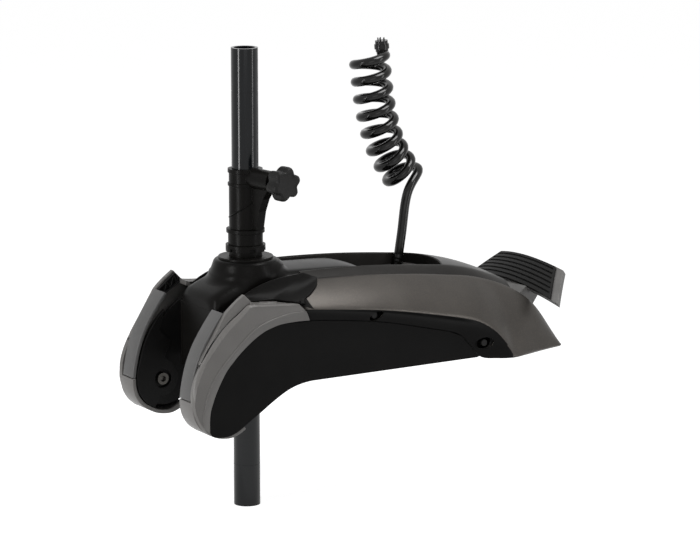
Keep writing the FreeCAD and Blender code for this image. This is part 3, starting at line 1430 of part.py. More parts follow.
RELIEF_FOOT = (207.6, 31.0)
CORD_ROUTE = (
    (212.0, 31.0, 103.5), (216.4, 31.0, 130.5), (220.2, 31.0, 157.0), (229.5, 33.0, 179.5),
    (241.0, 38.0, 193.0),
)
COIL_ROUTE = (
    (229.5, 52.0, 187.5), (210.5, 52.0, 213.0), (197.5, 52.0, 250.0), (190.0, 52.0, 288.0),
    (187.4, 52.0, 318.0),
)
ARC_SHARE = 0.45


def rounded_path(points):
    """Straight runs joined by tangent arcs, each as large as its two runs allow."""
    corners = [at(*point) for point in points]
    edges = []
    radii = []
    start = corners[0]
    for before, corner, after in zip(corners, corners[1:], corners[2:]):
        back = (before - corner).normalize()
        ahead = (after - corner).normalize()
        shorter = min((before - corner).Length, (after - corner).Length)
        reach = ARC_SHARE * shorter
        half_turn = (math.pi - back.getAngle(ahead)) / 2
        radii.append(round(reach / math.tan(half_turn), 1))
        first = corner + back * reach
        last = corner + ahead * reach
        bisector = (back + ahead).normalize()
        radius = reach / math.tan(half_turn)
        middle = corner + bisector * (radius / math.cos(half_turn) - radius)
        edges.append(Part.LineSegment(start, first).toShape())
        edges.append(Part.Arc(first, middle, last).toShape())
        start = last
    edges.append(Part.LineSegment(start, corners[-1]).toShape())
    return Part.Wire(edges), radii


def swept(points, radius):
    """Round section along a rounded path, with its volume compared with its length."""
    path, radii = rounded_path(points)
    start = at(*points[0])
    direction = at(*points[1]) - start
    section = Part.Wire(Part.Circle(start, direction, radius).toShape())
    tube = path.makePipeShell([section], True, False)
    ratio = tube.Volume / (math.pi * radius ** 2 * path.Length)
    print("swept radius", radius, "arc radii", radii, "length", round(path.Length, 1), "fill", round(ratio, 4))
    return tube


def cord_relief():
    """Ribbed strain relief and nut of the cord, on the shelf."""
    high = v.shelf_low + v.shelf_thick
    foot = at(*RELIEF_FOOT, high)
    exit_point = at(*CORD_ROUTE[0])
    unit = at(*CORD_ROUTE[1]) - exit_point
    unit.normalize()
    length = 25.0
    sleeve_start = exit_point - unit * length
    nut = Part.makeCylinder(8.4, 6.0, foot, UP)
    stem = Part.makeCylinder(4.9, v.shelf_thick + 3.0, foot - UP * (v.shelf_thick + 3.0), UP)
    sleeve = Part.makeCone(7.0, 5.4, length, sleeve_start, unit)
    ribs = []
    for index in range(5):
        ribs.append(Part.makeCylinder(7.4 - 0.3 * index, 1.8, sleeve_start + unit * (4.0 + 4.0 * index), unit))
    solid("cord_relief", joined(nut, stem, sleeve, *ribs))


def curly_cord():
    """The cord's straight lead, and one solid of its coil's outside."""
    lead = swept(CORD_ROUTE, v.cord_radius)
    coil = swept(COIL_ROUTE, v.coil_radius)
    solid("cord_lead", lead.cut(coil))
    solid("cord_coil", coil)


def cord_connector():
    """Small plug with its sleeve, on the strand's upper end."""
    end = at(*COIL_ROUTE[-1])
    along = end - at(*COIL_ROUTE[-2])
    along.normalize()
    start = end + Vector(0, 1, 0).cross(along) * v.strand_reach
    sleeve_length = 7.0
    sleeve = Part.makeCone(v.cord_radius + 0.9, 6.4, sleeve_length, start, along)
    foot = start + along * sleeve_length
    body = Part.makeCylinder(7.0, 12.0, foot, along)
    grip = Part.makeCylinder(8.2, 5.0, foot + along * 3.0, along)
    pins = []
    for index in range(5):
        angle = 2 * math.pi * index / 5
        spot = foot + along * 11.5 + Vector(math.cos(angle), math.sin(angle), 0) * 3.6
        pins.append(Part.makeCylinder(0.7, 3.5, spot, along))
    solid("cord_connector", joined(sleeve, body, grip, *pins))


# Build ------------------------------------------------------------------------------------------

base_plate()
for side in (PORT, STARBOARD):
    side_frame(side)
    cheek_plate(side)
    cheek_trim(side)
    rest_pad(side)
    side_panel(side)
    side_cover(side)
cheek_bolts()
top_cover()
rear_cover()
power_gland()
cover_screws()
pivot_parts()
stop_parts()
well_shelf()
control_board()
pivot_bushes()
carriage_casting()
housing_shell()
housing_hood()
housing_screws()
bearings()
boss_washer()
steering_motor()
latch_sector()
steering_hub()
steering_gear()
lock_ring()
depth_collar()
steering_pinion()
clamp_shoe()
clamp_knob()
clamp_stud()
shaft()
release_pedal()
pedal_tread()
pedal_pin()
pedal_spring()
pull_rod()
rod_guides()
pawl()
pawl_bracket()
cord_relief()
curly_cord()
cord_connector()

doc.recompute()
for thing in doc.Objects:
    if {"Invalid", "Error"} & set(thing.State):
        raise RuntimeError(f"{thing.Label} failed: {thing.State}")
os.makedirs("parts", exist_ok=True)
for piece in NODES:
    if piece.Shape.isNull() or not piece.Shape.isValid() or not piece.Shape.Solids:
        raise RuntimeError(f"{piece.Label} has no valid solid")
for piece in NODES:
    piece.Shape.exportStep(f"parts/{piece.Label}.step")
print(len(NODES), "pieces")
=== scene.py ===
# %% [markdown]
# # A folding trolling motor mount, dressed for its photograph
#
# The CAD model gives every piece its place and size. This lesson loads it as a fixed frame, sets a
# camera and a studio, makes the cord, the moulded covers and the small fittings, and gives every
# surface a finish of nodes. Everything is in metres. X runs aft along the boat, Y to starboard and
# Z up.

# %% Load the frame
from contextlib import contextmanager
from itertools import accumulate
from math import asin, cos, degrees, hypot, pi, radians, sin, sqrt

import bpy
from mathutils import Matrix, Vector
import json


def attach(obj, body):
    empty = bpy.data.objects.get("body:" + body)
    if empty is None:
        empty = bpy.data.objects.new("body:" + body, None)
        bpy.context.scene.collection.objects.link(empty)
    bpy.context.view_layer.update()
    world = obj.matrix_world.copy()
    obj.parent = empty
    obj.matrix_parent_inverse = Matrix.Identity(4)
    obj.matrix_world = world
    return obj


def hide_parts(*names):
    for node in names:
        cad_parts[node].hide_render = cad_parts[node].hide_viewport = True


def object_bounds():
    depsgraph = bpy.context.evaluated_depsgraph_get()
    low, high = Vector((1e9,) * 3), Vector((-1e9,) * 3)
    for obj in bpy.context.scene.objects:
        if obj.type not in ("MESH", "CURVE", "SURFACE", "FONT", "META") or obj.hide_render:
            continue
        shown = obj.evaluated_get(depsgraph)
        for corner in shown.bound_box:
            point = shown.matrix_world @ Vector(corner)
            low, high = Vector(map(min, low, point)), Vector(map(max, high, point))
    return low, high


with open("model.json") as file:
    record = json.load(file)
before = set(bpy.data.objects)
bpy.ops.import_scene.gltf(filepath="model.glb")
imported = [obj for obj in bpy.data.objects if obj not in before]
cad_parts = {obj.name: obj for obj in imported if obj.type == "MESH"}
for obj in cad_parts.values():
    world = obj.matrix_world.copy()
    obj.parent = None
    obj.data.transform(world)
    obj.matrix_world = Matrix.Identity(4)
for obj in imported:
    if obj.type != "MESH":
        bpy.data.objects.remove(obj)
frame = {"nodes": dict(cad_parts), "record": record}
cad_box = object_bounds()
nodes = frame["nodes"]

# %% [markdown]
# ## Where things are
#
# On the real mount every distance is taken from the upright shaft and the deck, and the CAD model
# writes its points that way in millimetres. One small function turns such a reading into a point,
# so both can use the same numbers.

# %% From readings on the mount to points
SHAFT_X = -0.180
MM = 0.001
SIDES = ((-1, "port"), (1, "starboard"))


def at(aft, across, up):
    """A point, given in mm aft of the shaft, to starboard and above the deck."""
    return Vector((SHAFT_X + aft * MM, across * MM, up * MM))


def on_side(side, points):
    """Points given as aft, outwards and up, set on one side of the mount."""
    return [at(aft, side * across, up) for aft, across, up in points]


print("the shaft stands at", tuple(at(0, 0, 0)))

# %% [markdown]
# ## The camera
#
# The photograph was taken from far off with a long lens, so upright edges stay upright. The place
# and the lens come from fitting the mount's own points to the picture.

# %% Set the camera
LENS = 174.14
EYE = Vector((-1.9366, -3.0484, 0.8235))
EYE_BACK = Vector((-0.51552, -0.83302, 0.20083)).normalized()


def stand(name, data, place=(0, 0, 0), back=Vector((0, 0, 1))):
    """An object in the scene at a place, its own Z turned back from what it looks at."""
    thing = bpy.data.objects.new(name, data)
    bpy.context.scene.collection.objects.link(thing)
    thing.location = place
    thing.rotation_mode = "QUATERNION"
    thing.rotation_quaternion = back.to_track_quat("Z", "Y")
    return thing


camera = stand("camera", bpy.data.cameras.new("camera"), EYE, EYE_BACK)
camera.data.lens = LENS
camera.data.sensor_width = 36
camera.data.clip_end = 100
bpy.context.scene.camera = camera
bpy.context.scene.view_settings.view_transform = "Standard"
print("camera elevation", round(degrees(asin(EYE_BACK.z)), 2))

# %% [markdown]
# ## Numbers that grow into surfaces
#
# A finish is a small sum: a colour, a little cloudiness, and wear where an edge rubs. One class
# wraps a socket and lets Python's own + - * add the Math nodes. Colours go through Mix nodes,
# because a Math node would turn them grey.

# %% Wrap a socket so that sums make nodes
def arithmetic(operation, other_first=False):
    """A method that joins a wire and another number with one Math node."""
    def act(self, other):
        pair = (other, self) if other_first else (self, other)
        return self.paint.add("ShaderNodeMath", {"operation": operation}, *pair)
    return act


class Wire:
    """A number on its way through a material."""

    __add__, __radd__ = arithmetic("ADD"), arithmetic("ADD", True)
    __sub__, __rsub__ = arithmetic("SUBTRACT"), arithmetic("SUBTRACT", True)
    __mul__, __rmul__ = arithmetic("MULTIPLY"), arithmetic("MULTIPLY", True)
    most = arithmetic("MAXIMUM")

    def __init__(self, paint, socket):
        self.paint = paint
        self.socket = socket

    def step(self, low, high):
        """0 below low, 1 above high, and a smooth rise between."""
        return self.paint.add("ShaderNodeMapRange", {"interpolation_type": "SMOOTHSTEP"},
                              self, low, high)


class Paint:
    """One material, built a node at a time."""

    def __init__(self, name):
        self.material = bpy.data.materials.new(name)
        self.material.use_nodes = True
        self.tree = self.material.node_tree
        self.shader = self.tree.nodes["Principled BSDF"]
        self.place = self.add("ShaderNodeTexCoord", out="Object")

    def put(self, value, socket):
        if isinstance(value, Wire):
            self.tree.links.new(value.socket, socket)
        elif value is not None:
            socket.default_value = value

    def fill(self, node, named):
        for key, value in named.items():
            self.put(value, node.inputs[key.replace("_", " ")])

    def add(self, kind, settings=None, *values, out=0, **named):
        """A wire from a new node, given its settings and what its sockets take."""
        node = self.tree.nodes.new(kind)
        for key, value in (settings or {}).items():
            setattr(node, key, value)
        for socket, value in zip(node.inputs, values):
            self.put(value, socket)
        self.fill(node, named)
        return Wire(self, node.outputs[out])

    def noise(self, scale, detail=2.0, roughness=0.5, stretch=None):
        """Noise, stretched by a scale on each axis if one is given."""
        place = self.place
        if stretch:
            place = self.add("ShaderNodeMapping", Vector=place, Scale=stretch)
        return self.add("ShaderNodeTexNoise", Vector=place, Scale=scale, Detail=detail,
                        Roughness=roughness)

    def cells(self, scale, output):
        """Small cells: each one's own colour, or the distance from its middle."""
        return self.add("ShaderNodeTexVoronoi", Vector=self.place, Scale=scale, out=output)

    def mix(self, share, first, second):
        """A colour between two, by a share from 0 to 1."""
        return self.add("ShaderNodeMix", {"data_type": "RGBA", "clamp_factor": True},
                        share, *[None] * 5, first, second, out=2)

    def rounded(self, radius):
        """The surface's normal as if its sharp edges were rounded off."""
        return self.add("ShaderNodeBevel", {"samples": 6}, radius)

    def edges(self, radius):
        """The rounded normal, and how far it is turned: 1 on edges and 0 on flats."""
        normal = self.rounded(radius)
        flat = self.add("ShaderNodeNewGeometry", out="Normal")
        turned = self.add("ShaderNodeVectorMath", {"operation": "DOT_PRODUCT"}, normal, flat,
                          out="Value")
        return normal, (1.0 - turned).step(0.01, 0.16)

    def bump(self, height, strength, distance, normal=None):
        return self.add("ShaderNodeBump", Strength=strength, Distance=distance, Height=height,
                        Normal=normal)

    def finish(self, **sockets):
        self.fill(self.shader, sockets)
        return self.material


def grey(value, warmth=0.0):
    """An even grey, or one a little warmer or cooler."""
    return (value * (1 + warmth), value, value * (1 - warmth), 1.0)


print("rough greys:", grey(0.1), grey(0.1, 0.05))

# %% [markdown]
# ## A plain studio
#
# Such mounts are shown on white. The floor is a pale sheet that takes the soft shadow. It and the
# world are lifted to white for the rays of the eye, a gloss or a glass, and for no others, so the
# lamps alone light the mount. They are large, because the photograph has no hard shadows.

# %% Lay the floor and light the world
FLOOR_UP = cad_box[0].z - 0.4 * MM
FLOOR_LIFT, AMBIENT = 0.90, 0.15

bpy.ops.object.select_all(action="DESELECT")
bpy.ops.mesh.primitive_plane_add(size=60, location=(0, 0, FLOOR_UP))
floor = bpy.context.object
floor.name = "studio_floor"


def seen_directly(paint):
    """1 for the rays of the eye, of a gloss and of a glass, and 0 for all others."""
    rays = paint.add("ShaderNodeLightPath").socket.node.outputs
    eye, gloss, glass = (Wire(paint, rays[n]) for n in
                         ("Is Camera Ray", "Is Glossy Ray", "Is Transmission Ray"))
    return eye.most(gloss).most(glass)


sheet = Paint("studio_sheet")
floor.data.materials.append(sheet.finish(
    Base_Color=grey(0.62), Roughness=0.95, Specular_IOR_Level=0.0,
    Emission_Color=sheet.mix(seen_directly(sheet), grey(0), grey(1)),
    Emission_Strength=FLOOR_LIFT))

world = bpy.data.worlds.new("studio")
bpy.context.scene.world = world
world.use_nodes = True
# the same helpers lay the world's nodes, with no material of their own
air = Paint.__new__(Paint)
air.tree = world.node_tree
background = world.node_tree.nodes["Background"]
air.put(air.mix(seen_directly(air), grey(AMBIENT), grey(1)), background.inputs["Color"])
print("floor at", round(FLOOR_UP, 4))

# %% Hang the lamps
LOOK_AT = Vector((-0.06, 0, 0.07))
# each lamp's name, place, size and power; all of them are soft and face the mount
for name, place, size, power in (("top", (0.14, -0.30, 0.95), (0.45, 0.45), 8),
                                 ("bow_strip", (-1.15, -0.14, 0.22), (0.13, 1.1), 9),
                                 ("stern_strip", (0.75, -1.05, 0.30), (0.14, 1.0), 4),
                                 ("front", (-0.80, -1.60, 0.55), (0.9, 0.9), 3)):
    data = bpy.data.lights.new(name, "AREA")
    data.shape = "RECTANGLE"
    data.size, data.size_y = size
    data.energy = power
    stand(name, data, place, Vector(place) - LOOK_AT)

# %% [markdown]
# ## Finishes
#
# The mount is mostly moulded plastic: a fine grain from the mould, a slight cloudiness in the
# gloss, and edges that rub pale. A Bevel node rounds the CAD's sharp edges for the light alone,
# which gives the thin highlights of real edges, and it also tells where those edges are.

# %% A moulded finish with grain, cloudiness and rubbed edges
def moulded(name, tone, rough, warmth=0.02, gloss=0.5, grain=0.12, grain_scale=1500,
            rub=0.5, cloud=0.14):
    paint = Paint(name)
    normal, edges = paint.edges(0.0007)
    clouds = paint.noise(38, 4)
    fine = paint.noise(grain_scale, 2, 0.6)
    scuffs = paint.noise(160, 6, 0.7).step(0.60, 0.74)
    dark = paint.mix(clouds.step(0.3, 0.7), grey(tone * (1 - cloud), warmth),
                     grey(tone * (1 + cloud), warmth))
    speckled = paint.mix(fine.step(0.35, 0.8) * 0.35, dark, grey(tone * 1.5 + 0.006, warmth))
    colour = paint.mix(edges * rub * (0.4 + 0.6 * scuffs), speckled,
                       grey(min(0.75, tone * 2.1 + 0.035), warmth))
    roughness = rough + 0.09 * (clouds - 0.5) + 0.12 * (scuffs * 0.5 - 0.1) - 0.06 * edges
    return paint.finish(
        Base_Color=colour, Roughness=roughness.most(0.05), Specular_IOR_Level=gloss,
        Normal=paint.bump(fine, grain, 0.0002, normal))


FINISH = {
    "frame_metal": moulded("powder_coat", 0.006, 0.48, gloss=0.08, grain=0.3, grain_scale=900),
    "cheek_black": moulded("black_moulding", 0.004, 0.45, gloss=0.08, rub=0.25),
    "trim_gray": moulded("gray_moulding", 0.102, 0.40, warmth=0.045, gloss=0.36, grain=0.2,
                         rub=0.30, cloud=0.05),
    "pad_gray": moulded("pad_moulding", 0.074, 0.46, warmth=0.01, gloss=0.30, grain=0.2,
                        rub=0.30, cloud=0.05),
    "panel_black": moulded("flat_black", 0.0035, 0.55, gloss=0.05, rub=0.18, cloud=0.2),
    "band_gray": moulded("band_moulding", 0.014, 0.34, warmth=0.07, gloss=0.10, rub=0.35),
    "lattice_black": moulded("lattice_moulding", 0.006, 0.42, warmth=0.03, gloss=0.12),
    "scoop_black": moulded("scoop_moulding", 0.0040, 0.46, warmth=0.05, gloss=0.05, rub=0.3),
    "head_black": moulded("head_moulding", 0.0030, 0.33, warmth=0.08, gloss=0.055, grain=0.16,
                          rub=0.22),
    "bush_plastic": moulded("acetal", 0.62, 0.38, warmth=0.03, grain=0.05, rub=0.1),
    "motor_can": moulded("motor_paint", 0.05, 0.32, gloss=0.4, rub=0.6),
    "knob_black": moulded("knob_moulding", 0.008, 0.50, gloss=0.12, grain=0.3, rub=0.25),
    "pedal_gray": moulded("pedal_moulding", 0.10, 0.42, warmth=0.03, gloss=0.38, rub=0.4),
    "tread_black": moulded("tread_rubber", 0.007, 0.55, gloss=0.12, grain=0.35, rub=0.3),
    "rubber_black": moulded("soft_rubber", 0.012, 0.72, gloss=0.3, grain=0.4, rub=0.15),
}
print("moulded finishes:", len(FINISH))

# %% [markdown]
# ## The speckled paint of the side covers
#
# The arched covers have fine bright flakes in a warm gray coat. Flakes are small cells, each with
# its own brightness, and a partly metallic base makes the coat dark where it faces nothing bright.

# %% The metallic speckle
def speckled(name, tone, warmth):
    paint = Paint(name)
    normal, edges = paint.edges(0.0006)
    flakes = paint.cells(1700, "Color")
    specks = paint.noise(2100, 2, 0.6)
    clouds = paint.noise(30, 3)
    glitter = (flakes * 0.6 + specks * 0.4).step(0.45, 0.78)
    body = paint.mix(clouds.step(0.3, 0.7), grey(tone * 0.92, warmth), grey(tone * 1.06, warmth))
    flaked = paint.mix(glitter * 0.5, body, grey(tone * 1.9, warmth * 1.3))
    colour = paint.mix(edges * 0.45, flaked, grey(tone * 2.4, warmth))
    return paint.finish(
        Base_Color=colour, Metallic=0.55 + 0.3 * glitter,
        Roughness=(0.36 + 0.08 * (clouds - 0.5) - 0.06 * glitter).most(0.1),
        Specular_IOR_Level=0.25, Coat_Weight=0.03, Coat_Roughness=0.2,
        Normal=paint.bump(specks, 0.18, 0.0002, normal))


FINISH["cover_metallic"] = speckled("metallic_cover", 0.042, 0.10)
# painted shade: a near-black finish for the cove under the lip and the screw seats, where shade
# falls on the metallic cover
FINISH["painted_shade_black"] = moulded("painted_shade_moulding", 0.0030, 0.34, warmth=0.04, gloss=0.05, rub=0.2)

# %% [markdown]
# ## The shaft, the metals and the cord's jacket
#
# The shaft is a wound tube with a gloss coat and faint upright streaks. A casting is sandy, a
# turned part has rings and a drawn one has streaks. Noise stretched on one axis makes each of
# them.

# %% Gloss, brushed and cast finishes
def shaft_coat():
    paint = Paint("shaft_coat")
    streaks = paint.noise(1, 4, 0.6, (900, 900, 22))
    rubbed = paint.noise(1, 5, 0.7, (260, 260, 60)).step(0.66, 0.8)
    base = paint.mix(streaks.step(0.3, 0.75), (0.0020, 0.0024, 0.0030, 1),
                     (0.005, 0.006, 0.007, 1))
    colour = paint.mix(rubbed * 0.10, base, (0.10, 0.10, 0.10, 1))
    return paint.finish(
        Base_Color=colour, Roughness=0.12 + 0.04 * streaks + 0.10 * rubbed,
        Specular_IOR_Level=0.24, Normal=paint.bump(streaks, 0.04, 0.0001))


def metal(name, colour, rough, stretch, streak=0.25, pits=0.1):
    """A bare metal, its marks stretched the way it was worked."""
    paint = Paint(name)
    normal, edges = paint.edges(0.0004)
    marks = paint.noise(1, 4, 0.65, stretch)
    dirt = paint.noise(120, 5, 0.6).step(0.5, 0.8)
    dull = tuple(c * 0.55 for c in colour[:3]) + (1.0,)
    bright = tuple(min(1.0, c * 1.25) for c in colour[:3]) + (1.0,)
    worked = paint.mix(marks * streak + dirt * 0.4, colour, dull)
    return paint.finish(
        Base_Color=paint.mix(edges * 0.5, worked, bright), Metallic=1.0,
        Roughness=(rough + 0.15 * (marks - 0.5) + 0.12 * dirt).most(0.08),
        Normal=paint.bump(marks, pits, 0.0002, normal))


def jacket():
    """The cord's smooth, glossy jacket, faintly cloudy in its black."""
    paint = Paint("cord_jacket")
    fine = paint.noise(1400, 2, 0.6)
    clouds = paint.noise(60, 4)
    colour = paint.mix(clouds.step(0.3, 0.75), (0.0016, 0.0015, 0.0014, 1),
                       (0.004, 0.0038, 0.0035, 1))
    return paint.finish(
        Base_Color=colour, Roughness=(0.13 + 0.08 * clouds).most(0.08),
        Specular_IOR_Level=0.26, Normal=paint.bump(fine, 0.04, 0.0001))


def potted_board():
    """Green resist with darker tracks under a clear coat."""
    paint = Paint("potted_board")
    tracks = paint.cells(260, "Distance").step(0.25, 0.4)
    colour = paint.mix(tracks, (0.015, 0.11, 0.04, 1), (0.03, 0.19, 0.075, 1))
    return paint.finish(
        Base_Color=colour, Roughness=0.25 + 0.2 * paint.noise(90, 3), Coat_Weight=0.3,
        Normal=paint.bump(tracks, 0.2, 0.0003, paint.rounded(0.0004)))


FINISH |= {
    "shaft_dark": shaft_coat(),
    "casting": metal("cast_alloy", (0.46, 0.46, 0.47, 1), 0.50, (700, 700, 700), 0.2, 0.35),
    "steel": metal("stainless", (0.50, 0.49, 0.47, 1), 0.27, (1500, 60, 1500)),
    "pinion_brass": metal("turned_brass", (0.66, 0.47, 0.20, 1), 0.28, (200, 200, 1800)),
    "dark_steel": metal("dark_screw", (0.055, 0.052, 0.048, 1), 0.34, (900, 900, 900)),
    "cord_black": jacket(),
    "board_green": potted_board(),
}
print("finishes:", len(FINISH))

# %% [markdown]
# ## Dressing the CAD pieces
#
# Most inner pieces keep their CAD shape and take the finish that the record names for them. The
# pieces that the eye meets first are made anew in the cells that follow.

# %% Give every CAD piece the finish of its slot
slot_of = {row["node"]: row["material_slot"] for row in frame["record"]["subparts"]}
# painted shade: the cover screws take the near-black lattice finish so that their seats read as
# deep dark holes
SCREW_FINISH = {"cheek_bolts": "dark_steel", "cover_screws": "lattice_black"}
for name, node in nodes.items():
    if not node.material_slots:
        node.data.materials.append(None)
    for place in node.material_slots:
        place.material = FINISH[SCREW_FINISH.get(name, slot_of[name])]
print("dressed", len(nodes), "CAD pieces")

# %% [markdown]
# ## Working by hand
#
# An operator acts on all that is selected, so each piece starts by clearing the selection. A
# finished piece gets its name, its finish, the body that carries it and the CAD nodes that it
# stands for.

# %% Start and finish a piece
def fresh():
    """Nothing selected."""
    bpy.ops.object.select_all(action="DESELECT")


def pick(piece):
    """This piece alone is selected and active."""
    fresh()
    piece.select_set(True)
    bpy.context.view_layer.objects.active = piece


@contextmanager
def edit_mode(piece):
    """Edit mode with the whole piece selected, while the block lasts."""
    pick(piece)
    bpy.ops.object.mode_set(mode="EDIT")
    bpy.ops.mesh.select_all(action="SELECT")
    yield
    bpy.ops.object.mode_set(mode="OBJECT")


def apply(piece, kind, **settings):
    """Add a modifier, set it, and apply it."""
    pick(piece)
    modifier = piece.modifiers.new(kind.lower(), kind)
    for key, value in settings.items():
        setattr(modifier, key, value)
    bpy.ops.object.modifier_apply(modifier=modifier.name)
    return piece


def tidy_mesh(piece):
    """Merge doubled points and turn all faces outwards."""
    with edit_mode(piece):
        bpy.ops.mesh.remove_doubles(threshold=0.00001)
        bpy.ops.mesh.normals_make_consistent(inside=False)
    return piece


def soften(piece, width, segments=2, angle=32):
    """Round the sharp edges, and shade the rest smooth."""
    if width:
        apply(piece, "BEVEL", width=width * MM, segments=segments, limit_method="ANGLE",
              angle_limit=radians(angle), miter_outer="MITER_ARC", use_clamp_overlap=True)
    pick(piece)
    bpy.ops.object.shade_smooth_by_angle(angle=radians(angle))
    return piece


def settle(piece, name, finish, body, slot, *stands_for):
    """Name, paint and seat a finished piece."""
    piece.name = name
    piece.data.name = name
    if finish:
        piece.data.materials.clear()
        piece.data.materials.append(FINISH[finish])
    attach(piece, body)
    if stands_for:
        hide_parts(*stands_for)
    print("made", name)


def joined(first, *others):
    """Several shapes as one piece."""
    pick(first)
    for other in others:
        other.select_set(True)
    bpy.ops.object.join()
    return first


def cut(piece, *tools):
    """Take the tools' shapes out of a piece."""
    for tool in tools:
        apply(piece, "BOOLEAN", operation="DIFFERENCE", solver="EXACT", object=tool)
        bpy.data.objects.remove(tool)
    return piece


# %% [markdown]
# ## The curly cord
#
# A black cord leaves its ribbed relief on the cover, bows out and winds up into a spring. It is
# one cord, so it is one curve: a lead given point by point, then sixteen points for each turn,
# then a short stretch up into the plug. The spring's axis is a smooth curve too, and the turns are
# set square to it, so they tilt more where the axis leans.

# %% The route of the spring's axis
def smooth_route(name, points, resolution):
    """A NURBS curve with these points as its control points."""
    data = bpy.data.curves.new(name, "CURVE")
    data.dimensions = "3D"
    spline = data.splines.new("NURBS")
    spline.points.add(len(points) - 1)
    for knot, point in zip(spline.points, points):
        knot.co = (*point, 1.0)
    spline.order_u = 3
    spline.use_endpoint_u = True
    data.resolution_u = resolution
    route = bpy.data.objects.new(name, data)
    bpy.context.scene.collection.objects.link(route)
    return route


def points_along(route):
    """Places along a route and how far along it each of them is."""
    mesh = bpy.data.meshes.new_from_object(route)
    places = [vertex.co.copy() for vertex in mesh.vertices]
    bpy.data.meshes.remove(mesh)
    gaps = [(second - first).length for first, second in zip(places, places[1:])]
    return places, list(accumulate(gaps, initial=0.0))


COIL_ROUTE = [at(229.5, 52, 187.5), at(210.5, 52, 213), at(197.5, 52, 250), at(190, 52, 288),
              at(187.4, 52, 318)]
axis_route = smooth_route("spring_axis", COIL_ROUTE, 24)
axis_places, axis_reach = points_along(axis_route)
bpy.data.objects.remove(axis_route)
print("spring axis", round(axis_reach[-1] * 1000, 1), "mm")


def on_axis(reach):
    """A place on the spring's axis and its direction there, straight past both ends."""
    index = 1
    while index < len(axis_reach) - 1 and axis_reach[index] < reach:
        index += 1
    first, second = axis_places[index - 1], axis_places[index]
    way = (second - first).normalized()
    return first + way * (reach - axis_reach[index - 1]), way


# %% The cord, from its relief to its plug
ACROSS = Vector((0, 1, 0))
CORD_RADIUS = 5.2 * MM
STRAND_RADIUS = 18.2 * MM
PITCH = 18.9 * MM
TURN_POINTS = 16
FIRST_TURN, CLIMB_TURN = 0.03, 7.84
CORD_EXIT = at(212, 31, 103.5)
LEAD = [
    CORD_EXIT, at(213.6, 31, 114), at(215.9, 31, 127), at(217.8, 31, 142), at(219.9, 31.1, 158),
    at(223.4, 31.4, 171.5), at(229.6, 32.9, 180.6), at(237.2, 36, 187.2), at(243.6, 40.4, 191.8),
    at(246.7, 46.2, 194.6),
]


def strand(turn, reach, radius=STRAND_RADIUS):
    """A place on the strand: so many turns round, at a reach along the axis."""
    centre, way = on_axis(reach)
    outward = ACROSS.cross(way).normalized()
    angle = 2 * pi * turn
    return centre + outward * (radius * cos(angle)) + ACROSS * (radius * sin(angle))


def reach_at(turn):
    return (turn - 0.25) * PITCH


winding = []
steps = round((CLIMB_TURN - FIRST_TURN) * TURN_POINTS)
for step in range(steps + 1):
    turn = FIRST_TURN + (CLIMB_TURN - FIRST_TURN) * step / steps
    winding.append(strand(turn, reach_at(turn)))
# the last bit of the strand bends off the spring and up into the plug
PLUG_RADIUS, LAST_TURN = 16.5 * MM, 8
plug_reach = axis_reach[-1]
climb_reach = reach_at(CLIMB_TURN)
for share in (0.2, 0.4, 0.6, 0.8, 1.0):
    quarter = share * pi / 2
    turn = CLIMB_TURN + (LAST_TURN - CLIMB_TURN) * sin(quarter)
    reach = climb_reach + (plug_reach + 0.004 - climb_reach) * (1 - cos(quarter))
    winding.append(strand(turn, reach, STRAND_RADIUS + (PLUG_RADIUS - STRAND_RADIUS) * share))
winding.append(strand(LAST_TURN, plug_reach + 0.007, PLUG_RADIUS))

cord = smooth_route("curly_cord", LEAD + winding, 6)
cord_length = points_along(cord)[1][-1]
# a curve's box grows by the radius of its points, so they carry the cord's own
for point in cord.data.splines[0].points:
    point.radius = CORD_RADIUS
cord.data.bevel_depth = 1.0
cord.data.bevel_resolution = 5
cord.data.use_fill_caps = True
settle(cord, "curly_cord", "cord_black", "base", "cord_black", "cord_lead", "cord_coil")
cord.data.resolution_u = 4
print("cord", round(cord_length, 3), "m in", len(LEAD) + len(winding), "points")

# %% [markdown]
# ## Skins over rows of points
#
# A moulded cover is easiest to draw as its makers loft it: one section after another, each with as
# many points. A grid has just that order, so it is added at the right count and its points are set
# row by row. The skin then gets its wall, inwards from the visible face.

# %% Loft rows of points
def place_points(piece, spots):
    """Set a new piece's points, one by one."""
    for vertex, spot in zip(piece.data.vertices, spots, strict=True):
        vertex.co = spot


def skin(rows, around=False):
    """A skin over rows of points; around closes each row on itself."""
    count = len(rows[0]) + around
    fresh()
    bpy.ops.mesh.primitive_grid_add(x_subdivisions=count - 1, y_subdivisions=len(rows) - 1,
                                    size=0.1)
    piece = bpy.context.object
    place_points(piece, [row[k % len(row)] for row in rows for k in range(count)])
    return tidy_mesh(piece)


def turn_outwards(piece, centre):
    """Turn an open skin's faces away from a point behind it."""
    away = sum(polygon.normal.dot(polygon.center - centre) * polygon.area
               for polygon in piece.data.polygons)
    if away < 0:
        with edit_mode(piece):
            bpy.ops.mesh.flip_normals()
    return piece


def walled(piece, wall, centre):
    """Give an open skin its wall, behind the face that is seen."""
    turn_outwards(piece, centre)
    return apply(piece, "SOLIDIFY", thickness=wall * MM, offset=-1, use_even_offset=True)


def closed_ends(piece):
    """Fill the open ends of a tube of rows."""
    with edit_mode(piece):
        bpy.ops.mesh.fill_holes(sides=0)
    return tidy_mesh(piece)


def neighbours(line):
    """Each point of a line between the ones before and after it."""
    return zip(line[:1] + line, line, line[1:] + line[-1:])


